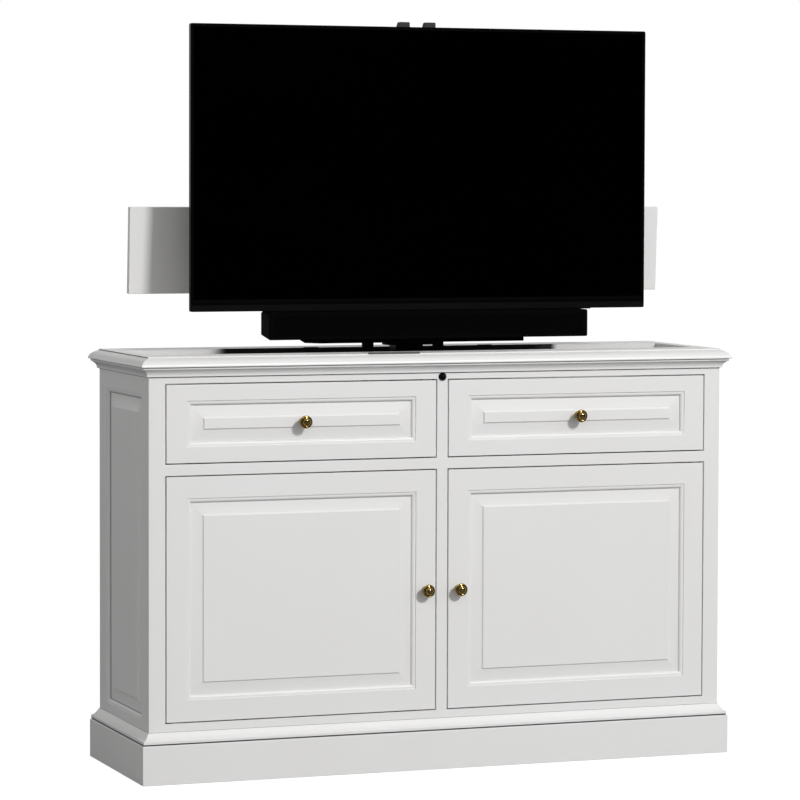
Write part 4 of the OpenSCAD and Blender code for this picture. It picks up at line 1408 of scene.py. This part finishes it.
@dataclass
class Lift:
    """The telescopic lift with its motor, control box, brace, head and rails."""

    hardware: Hardware
    collar_t: float = 2.2 * MM
    collar_gap: float = 0.15 * MM
    collar_lip: float = 0.3 * MM
    guide_x: float = 0.020
    rail_x: float = 0.030
    rail_bolts: tuple[float, ...] = (1.060, 1.160, 1.260, 1.360)

    def build(self) -> None:
        """Builds the lift."""
        for node, body in (
            ("lift_outer_column", Body.CABINET),
            ("lift_middle_column", Body.MIDDLE),
            ("lift_inner_column", Body.CARRIAGE),
        ):
            Bench.eased(node, body, COLUMN, 1.6 * MM)
        for node in ("lift_foot", "lift_brace"):
            Bench.eased(node, Body.CABINET, STEEL, 0.6 * MM)
        Bench.eased("lid_post_guides", Body.CABINET, STEEL, 0.5 * MM)
        Bench.eased("lift_motor", Body.CABINET, STEEL, 0.8 * MM)
        Bench.eased("control_box", Body.CABINET, SHELL, 1.2 * MM)
        for node in ("lift_head", "mount_rails"):
            Bench.eased(node, Body.CARRIAGE, STEEL, 0.5 * MM)
        Bench.eased("lid_skids", Body.CARRIAGE, RUBBER, 1.5 * MM)
        self.collar("outer_collar", "lift_outer_column", "lift_middle_column", Body.CABINET)
        self.collar("middle_collar", "lift_middle_column", "lift_inner_column", Body.MIDDLE)
        self.bolts()

    def collar(self, name: str, around: str, inside: str, body: Body) -> None:
        """A plastic collar on top of a column, round the column inside it.

        Args:
            name: The piece's name.
            around: The column that carries it.
            inside: The column that runs through it.
            body: The body it rides on.
        """
        low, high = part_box(around)
        in_low, in_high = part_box(inside)
        gap, lip = self.collar_gap, self.collar_lip
        foot, top = high.z, high.z + self.collar_t
        outer = (low.x + lip, low.y + lip, high.x - lip, high.y - lip)
        inner = (in_low.x - gap, in_low.y - gap, in_high.x + gap, in_high.y + gap)
        bm = bmesh.new()
        Bench.ring(bm, outer, ((0.0, foot), (0.0, top)), ((inner, top), (inner, foot)))
        rim = [e for e in bm.edges if all(v.co.z > (foot + top) / 2 for v in e.verts)]
        bmesh.ops.bevel(bm, geom=rim, offset=0.6 * MM, segments=2, profile=0.5, affect="EDGES")
        Bench.crease(bm, Bench.ROUND)
        Bench.piece(name, bm, body, SHELL)

    @staticmethod
    def corners(node: str, inset: float) -> list[Spot]:
        """Places for bolts at the four corners of a node's top.

        Args:
            node: The CAD node.
            inset: How far they stand in from its sides.

        Returns:
            Place and facing of each.
        """
        low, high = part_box(node)
        return [
            ((x, y, high.z), (0, 0, 1))
            for x in (low.x + inset, high.x - inset)
            for y in (low.y + inset, high.y - inset)
        ]

    def bolts(self) -> None:
        """Bolts of the foot, the control box, the post guides and the mount rails."""
        spots = self.corners("lift_foot", 0.014) + self.corners("control_box", 0.012)
        low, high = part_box("lid_post_guides")
        for x in (-self.guide_x, self.guide_x, low.x + 0.012, high.x - 0.012):
            spots.append(((x, high.y, (low.z + high.z) / 2), (0, 1, 0)))
        self.hardware.screws("lift_bolts", spots, Body.CABINET, ZINC, 4.0, 1.8)
        _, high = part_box("mount_rails")
        spots = [
            ((x, high.y, z), (0, 1, 0))
            for x in (-self.rail_x, self.rail_x)
            for z in self.rail_bolts
        ]
        self.hardware.screws("rail_bolts", spots, Body.CARRIAGE, ZINC, 4.5, 2.0)


@dataclass
class Screen:
    """The television: glass, thin frame, chin and the rear housing with its vents."""

    hardware: Hardware
    chin_h: float = 13.5 * MM
    # Heights of the fine line that stands in for the highlight on the glass's lower edge.
    highlight_line: tuple[float, float] = (21.4 * MM, 22.6 * MM)
    screw_x: tuple[float, ...] = (-0.35, -0.12, 0.12, 0.35)
    screw_inset: float = 0.03
    # A louvre's half width, how far it stands out, and its half height.
    louvre: Point = (13 * MM, 0.9 * MM, 1.3 * MM)
    vent_x: float = 0.215
    vent_w: float = 0.24
    vent_h: float = 0.044
    vent_down: float = 0.058
    socket_x: float = -0.24
    socket_down: float = 0.20
    # Half widths and half heights of the socket panel and of a slot in it.
    plate: tuple[float, float] = (0.028, 0.070)
    slot: tuple[float, float] = (0.0095, 0.0042)
    # A round socket: radius and height in millimetres.
    jack: Profile = (
        (0, 0), (5.6, 0), (5.6, 2.4), (4.8, 2.8), (3.4, 2.8), (3.2, 1.2), (0, 1.2)
    )

    def build(self) -> None:
        """Builds the screen."""
        Bench.eased("screen_frame", Body.CARRIAGE, GLOSS, 0.6 * MM)
        Bench.dress("screen_glass", GLASS)
        Bench.eased("screen_housing", Body.CARRIAGE, SHELL, 3 * MM)
        self.chin()
        self.vents()
        self.sockets()
        low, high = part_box("screen_housing")
        spots = [
            ((x, high.y, z), (0, 1, 0))
            for x in self.screw_x
            for z in (low.z + self.screw_inset, high.z - self.screw_inset)
        ]
        self.hardware.screws("housing_screws", spots, Body.CARRIAGE, STEEL, 3.2, 0.8)

    def chin(self) -> None:
        """The satin strip along the frame's lower edge, a real strip whose slightly lighter black
        is painted light for the tilted lip, and a fine line above it that is a painted highlight
        on the glass's edge.
        """
        low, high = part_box("screen_frame")
        bm = bmesh.new()
        for inset, bottom, top in ((2 * MM, 0.2 * MM, self.chin_h), (6 * MM, *self.highlight_line)):
            Bench.box(
                bm,
                (low.x + inset, low.y - 0.4 * MM, low.z + bottom),
                (high.x - inset, low.y + 2 * MM, low.z + top),
                0.3 * MM,
            )
        Bench.piece("screen_chin", bm, Body.CARRIAGE, CHIN)

    def vents(self) -> None:
        """Rows of louvres on the rear housing."""
        _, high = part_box("screen_housing")
        half, proud, tall = self.louvre
        bm = bmesh.new()
        Bench.box(bm, (-half, -0.6 * MM, -tall), (half, proud, tall), 0.5 * MM)
        louvre = self.hardware.part("louvre", bm)
        for name, x in (("vents_left", -self.vent_x), ("vents_right", self.vent_x)):
            start = bpy.data.meshes.new(f"{name}_start")
            self.hardware.grid.bake(
                name, start, Body.CARRIAGE, SHELL,
                Part=louvre, Width=self.vent_w, Height=self.vent_h, Columns=8, Rows=6,
                Middle=(x, high.y, high.z - self.vent_down),
            )
        self.hardware.drop(louvre)

    def sockets(self) -> None:
        """A raised panel with plain sockets for leads: four slots and two round ones."""
        _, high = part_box("screen_housing")
        y, x, z = high.y, self.socket_x, high.z - self.socket_down
        wide, tall = self.plate
        bm = bmesh.new()
        Bench.box(bm, (x - wide, y - MM, z - tall), (x + wide, y + 1.2 * MM, z + tall), 0.8 * MM)
        wide, tall = self.slot
        for k in range(4):
            middle = z + 0.048 - 0.024 * k
            low, high = (x - wide, y, middle - tall), (x + wide, y + 3.0 * MM, middle + tall)
            Bench.box(bm, low, high, 0.6 * MM)
        for k in range(2):
            Bench.turned(bm, self.jack, (x, y + MM, z - 0.044 - 0.016 * k), (0, 1, 0), 28)
        Bench.piece("lead_sockets", bm, Body.CARRIAGE, CAP)


@dataclass
class Soundbar:
    """The soundbar with its cloth front, and the shelf that carries it."""

    # The case: its underside's height over the solid's in front and at the back, and its rounding.
    drop: float = 2.6 * MM
    rise: float = 11.0 * MM
    corner: float = 4.0 * MM
    left_longer: float = 1.6 * MM
    gasket_longer: float = 27 * MM
    # The shelf: thicknesses, its flared left end, the feet, the bracket and the straps.
    plate_t: float = 4 * MM
    lip_t: float = 2 * MM
    lip_over: float = 2.0 * MM
    flare: float = 34.0 * MM
    feet: tuple[float, float] = (20 * MM, 50 * MM)
    bracket: tuple[float, float] = (166 * MM, 282 * MM)
    strap_x: tuple[float, float] = (-0.1025, 0.0605)
    strap_w: float = 12 * MM

    def build(self) -> None:
        """Builds the soundbar."""
        self.case()
        Bench.dress("soundbar_grille", CLOTH)
        self.shelf()

    def case(self) -> None:
        """The case with rounded ends and an underside that rises to the back."""
        caps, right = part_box("soundbar_caps")
        low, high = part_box("soundbar_case")
        left, front, bottom = caps.x - self.left_longer, low.y + 0.4 * MM, low.z + self.drop
        size = Vector((right.x - left, high.y - front, high.z - bottom))
        middle = Vector((right.x + left, high.y + front, high.z + bottom)) / 2
        bm = bmesh.new()
        bmesh.ops.create_cube(bm, size=1.0, matrix=Matrix.LocRotScale(middle, None, size))
        for vert in bm.verts:
            if vert.co.y > middle.y and vert.co.z < middle.z:
                vert.co.z = low.z + self.rise
        bm.normal_update()
        deep = [e for e in bm.edges if abs(e.verts[0].co.y - e.verts[1].co.y) > size.y / 2]
        bmesh.ops.bevel(
            bm, geom=deep, offset=self.corner, segments=5, profile=0.5, affect="EDGES"
        )
        Bench.crease(bm, Bench.ROUND)
        rims = [e for e in bm.edges if not e.smooth]
        bmesh.ops.bevel(bm, geom=rims, offset=0.8 * MM, segments=2, profile=0.5, affect="EDGES")
        Bench.crease(bm, Bench.BEND)
        solids = ("soundbar_case", "soundbar_caps")
        Bench.piece("soundbar_body", bm, Body.CARRIAGE, CAP, solids, even=True)
        screen, screen_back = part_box("screen_frame")
        bm = bmesh.new()
        Bench.box(
            bm,
            (left + 4 * MM, screen.y + 0.4 * MM, high.z - 0.6 * MM),
            (right.x + self.gasket_longer, screen_back.y - MM, screen.z + 0.2 * MM),
            0.2 * MM,
        )
        Bench.piece("bar_gasket", bm, Body.CARRIAGE, CAP)

    def shelf(self) -> None:
        """The shelf: a plate with a lip, a flared end, two feet, a bracket and two straps."""
        low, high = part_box("soundbar_shelf")
        bar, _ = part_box("soundbar_case")
        _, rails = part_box("mount_rails")
        plate, front = high.z - MM, low.y
        base, top = plate - 5 * MM, bar.z + self.drop + self.lip_over
        left, right = low.x + 24 * MM, high.x - 0.4 * MM
        bm = bmesh.new()
        Bench.box(bm, (left, front, plate - self.plate_t), (right, rails.y, plate), 0.4 * MM)
        Bench.box(bm, (left, front, base), (right, front + self.lip_t, top), 0.4 * MM)
        for x in (left + self.feet[0], right - self.feet[1]):
            foot = (x + 30 * MM, front + 30 * MM, plate + 9 * MM)
            Bench.box(bm, (x, front + 6 * MM, plate - MM), foot, 0.6 * MM)
        Bench.box(
            bm,
            (left + self.bracket[0], front + 34 * MM, plate - 12 * MM),
            (left + self.bracket[1], front + 70 * MM, plate - 3 * MM),
            0.6 * MM,
        )
        self.flared_end(bm, left, front, base, top)
        for x in self.strap_x:
            Bench.box(
                bm,
                (x - self.strap_w / 2, rails.y - 10 * MM, plate - 18 * MM),
                (x + self.strap_w / 2, rails.y - 7 * MM, plate - 3 * MM),
                0.4 * MM,
            )
        Bench.piece("bar_shelf", bm, Body.CARRIAGE, CAP, ("soundbar_shelf",))

    def flared_end(
        self, bm: bmesh.types.BMesh, left: float, front: float, base: float, top: float
    ) -> None:
        """Adds the lip's left end, which runs out to a slanted tip.

        Args:
            bm: The mesh to add to.
            left: Where the lip ends.
            front: The lip's face.
            base: The lip's lower edge.
            top: The lip's upper edge.
        """
        section = (
            (left + 0.6 * MM, base),
            (left - self.flare, base + 1.5 * MM),
            (left - 1.4 * self.flare, top - MM),
            (left - 1.3 * self.flare, top),
            (left + 3 * MM, top),
        )
        near, far = (
            [bm.verts.new((x, y, z)) for x, z in section] for y in (front, front + 4 * MM)
        )
        faces = [bm.faces.new(near), bm.faces.new(far[::-1])]
        for i in range(len(section)):
            j = (i + 1) % len(section)
            faces.append(bm.faces.new((near[i], far[i], far[j], near[j])))
        bmesh.ops.recalc_face_normals(bm, faces=faces)


@dataclass
class Lid:
    """The lid behind the screen with its hinge, posts and bumpers."""

    ease: float = 0.6 * MM

    def build(self) -> None:
        """Builds the lid."""
        # The lid board takes the lighter, painted-light copy of the paint.
        Bench.eased("lid_board", Body.LID, PAINT_LID_LIT, self.ease)
        Bench.eased("lid_ears", Body.LID, STEEL, 0.4 * MM)
        Bench.dress("lid_bumpers", RUBBER)
        Bench.eased("lid_posts", Body.LID_CARRIER, STEEL, 0.5 * MM)
        Bench.dress("lid_hinge_rod", ROD)


@dataclass
class Studio:
    """White room: camera, a key lamp at the front right, a soft lamp, a back light and a sky."""

    # The camera, solved from the photograph's straight edges: metres, degrees and millimetres.
    camera_at: Point = (-2.72023, -7.25600, 1.26786)
    yaw: float = 20.3522
    pitch: float = -2.7782
    roll: float = 0.1715
    lens: float = 159.362
    shift_up: float = -0.0625
    # Where every lamp looks, then each lamp's place, level on a white face, and edge.
    aim: Point = (0.0, -0.19, 0.60)
    key_at: Point = (3.1, -8.8, 5.85)
    key_level: float = 0.635
    key_size: float = 1.40
    soft_at: Point = (-1.2, -2.2, 2.8)
    soft_level: float = 0.035
    soft_size: float = 1.20
    back_from: Point = (0.10, 0.70, 0.70)
    back_level: float = 0.10
    fill: float = 0.545
    floor_level: float = 0.22

    def camera(self) -> None:
        """Makes the camera at the photograph's angle."""
        yaw, pitch, roll = (math.radians(a) for a in (self.yaw, self.pitch, self.roll))
        ahead = Vector((math.sin(yaw), math.cos(yaw), 0))
        right = Vector((math.cos(yaw), -math.sin(yaw), 0))
        up = Vector((0, 0, 1))
        ahead, up = (
            ahead * math.cos(pitch) + up * math.sin(pitch),
            up * math.cos(pitch) - ahead * math.sin(pitch),
        )
        right, up = (
            right * math.cos(roll) + up * math.sin(roll),
            up * math.cos(roll) - right * math.sin(roll),
        )
        data = bpy.data.cameras.new("photo_camera")
        data.sensor_width = 36.0
        data.lens = self.lens
        data.shift_y = self.shift_up
        made = bpy.data.objects.new("photo_camera", data)
        turn = Matrix((right, up, -ahead)).transposed().to_4x4()
        made.matrix_world = Matrix.Translation(self.camera_at) @ turn
        bpy.context.scene.collection.objects.link(made)
        bpy.context.scene.camera = made
        bpy.context.scene.view_settings.view_transform = "Standard"

    def sun(self, name: str, source: Point, level: float, angle: float) -> None:
        """Adds a far light.

        Args:
            name: Its name.
            source: The way it comes from.
            level: How bright it makes a white face that looks at it.
            angle: Its width in degrees.
        """
        data = bpy.data.lights.new(name, "SUN")
        data.energy = level * math.pi
        data.angle = math.radians(angle)
        made = bpy.data.objects.new(name, data)
        made.rotation_mode = "QUATERNION"
        made.rotation_quaternion = Vector(source).to_track_quat("Z", "Y")
        bpy.context.scene.collection.objects.link(made)

    def lamp(self, name: str, place: Point, level: float, size: float, tint: Point) -> None:
        """Adds a square lamp that looks at the cabinet.

        Args:
            name: Its name.
            place: Where it hangs.
            level: How bright it makes a white face at the cabinet that looks at it.
            size: Length of its edge.
            tint: Its colour.
        """
        away = Vector(place) - Vector(self.aim)
        data = bpy.data.lights.new(name, "AREA")
        data.shape = "SQUARE"
        data.size = size
        data.color = tint
        data.energy = level * math.pi**2 * away.length_squared
        made = bpy.data.objects.new(name, data)
        made.location = place
        made.rotation_mode = "QUATERNION"
        made.rotation_quaternion = away.to_track_quat("Z", "Y")
        made.visible_camera = False
        bpy.context.scene.collection.objects.link(made)

    def room(self) -> None:
        """The surroundings: white to the camera, a soft sky as fill, darker in mirrors.

        The sky is brightest low down and falls off upwards, more behind than in front. A
        mirror sees the white wall behind the cabinet, and little else.
        """
        world = bpy.data.worlds.new("white_room")
        bpy.context.scene.world = world
        world.use_nodes = True
        n = Nodes(world.node_tree)
        n.tree.nodes.clear()
        ray = n.node("ShaderNodeLightPath")
        way = n.node(
            "ShaderNodeSeparateXYZ", {}, {0: n.out(n.node("ShaderNodeTexCoord"), "Generated")}
        )
        seen = n.math(
            "MINIMUM", n.out(ray, "Is Camera Ray") + n.out(ray, "Is Transmission Ray"), 1.0
        )
        behind = n.ramped(n.out(way, 1), -0.35, 0.35)
        above = n.math("MAXIMUM", n.out(way, 2), 0.0)
        high = n.ramped(above, 0.10, 0.40)
        wall = 0.98 * behind * (1 - 0.7 * high)
        mirrored = 0.02 + wall + 0.9 * above * above * (1 - behind)
        glossy = n.out(ray, "Is Glossy Ray")
        ahead = n.math("MAXIMUM", -n.out(way, 1), 0.0)
        sky = n.math("MAXIMUM", 1.9 - 2.1 * above + ahead * (1.7 * above - 0.5), 0.1)
        plain = self.fill * sky * (1 - glossy) + mirrored * glossy
        level = seen + plain * (1 - seen)
        light = n.node("ShaderNodeBackground", {}, {"Color": grey(1.0), "Strength": level})
        n.node("ShaderNodeOutputWorld", {}, {"Surface": n.out(light)})

    def floor(self) -> None:
        """A pale floor that looks white to the camera and keeps a soft shadow."""
        surface = Surface(
            "pale_floor", Roughness=1.0, Specular_IOR_Level=0.0, Emission_Strength=1.0
        )
        ray = surface.node("ShaderNodeLightPath")
        seen = surface.math(
            "MINIMUM",
            surface.out(ray, "Is Camera Ray") + surface.out(ray, "Is Transmission Ray"),
            1.0,
        )
        pale = grey(self.floor_level)
        surface.feed("Base Color", surface.blend(seen, pale, grey(0.20)))
        surface.feed("Emission Color", surface.blend(seen, grey(0.0), grey(0.945)))
        bm = bmesh.new()
        bmesh.ops.create_grid(bm, x_segments=1, y_segments=1, size=60.0)
        for vert in bm.verts:
            vert.co.z = -0.2 * MM
        mesh = bpy.data.meshes.new("pale_floor")
        bm.to_mesh(mesh)
        bm.free()
        mesh.materials.append(surface.material)
        made = bpy.data.objects.new("pale_floor", mesh)
        bpy.context.scene.collection.objects.link(made)

    def light(self) -> None:
        """Sets the lights, the surroundings and the floor."""
        self.lamp("key_lamp", self.key_at, self.key_level, self.key_size, (1.0, 1.0, 1.0))
        self.lamp("soft_lamp", self.soft_at, self.soft_level, self.soft_size, (1.0, 0.99, 0.95))
        self.sun("back_light", self.back_from, self.back_level, 30.0)
        self.room()
        self.floor()


def main() -> None:
    """Builds the camera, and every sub-assembly and the studio."""
    logging.basicConfig(level=logging.INFO, format="%(name)s: %(message)s", stream=sys.stdout)
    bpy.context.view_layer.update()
    studio = Studio()
    studio.camera()
    hardware = Hardware()
    for part in (
        Carcass(hardware), TopBoards(), Fronts(), Knobs(), Lift(hardware),
        Screen(hardware), Soundbar(), Lid(),
    ):
        part.build()
        LOG.info("%s done", type(part).__name__)
    studio.light()


if __name__ == "__main__":
    main()
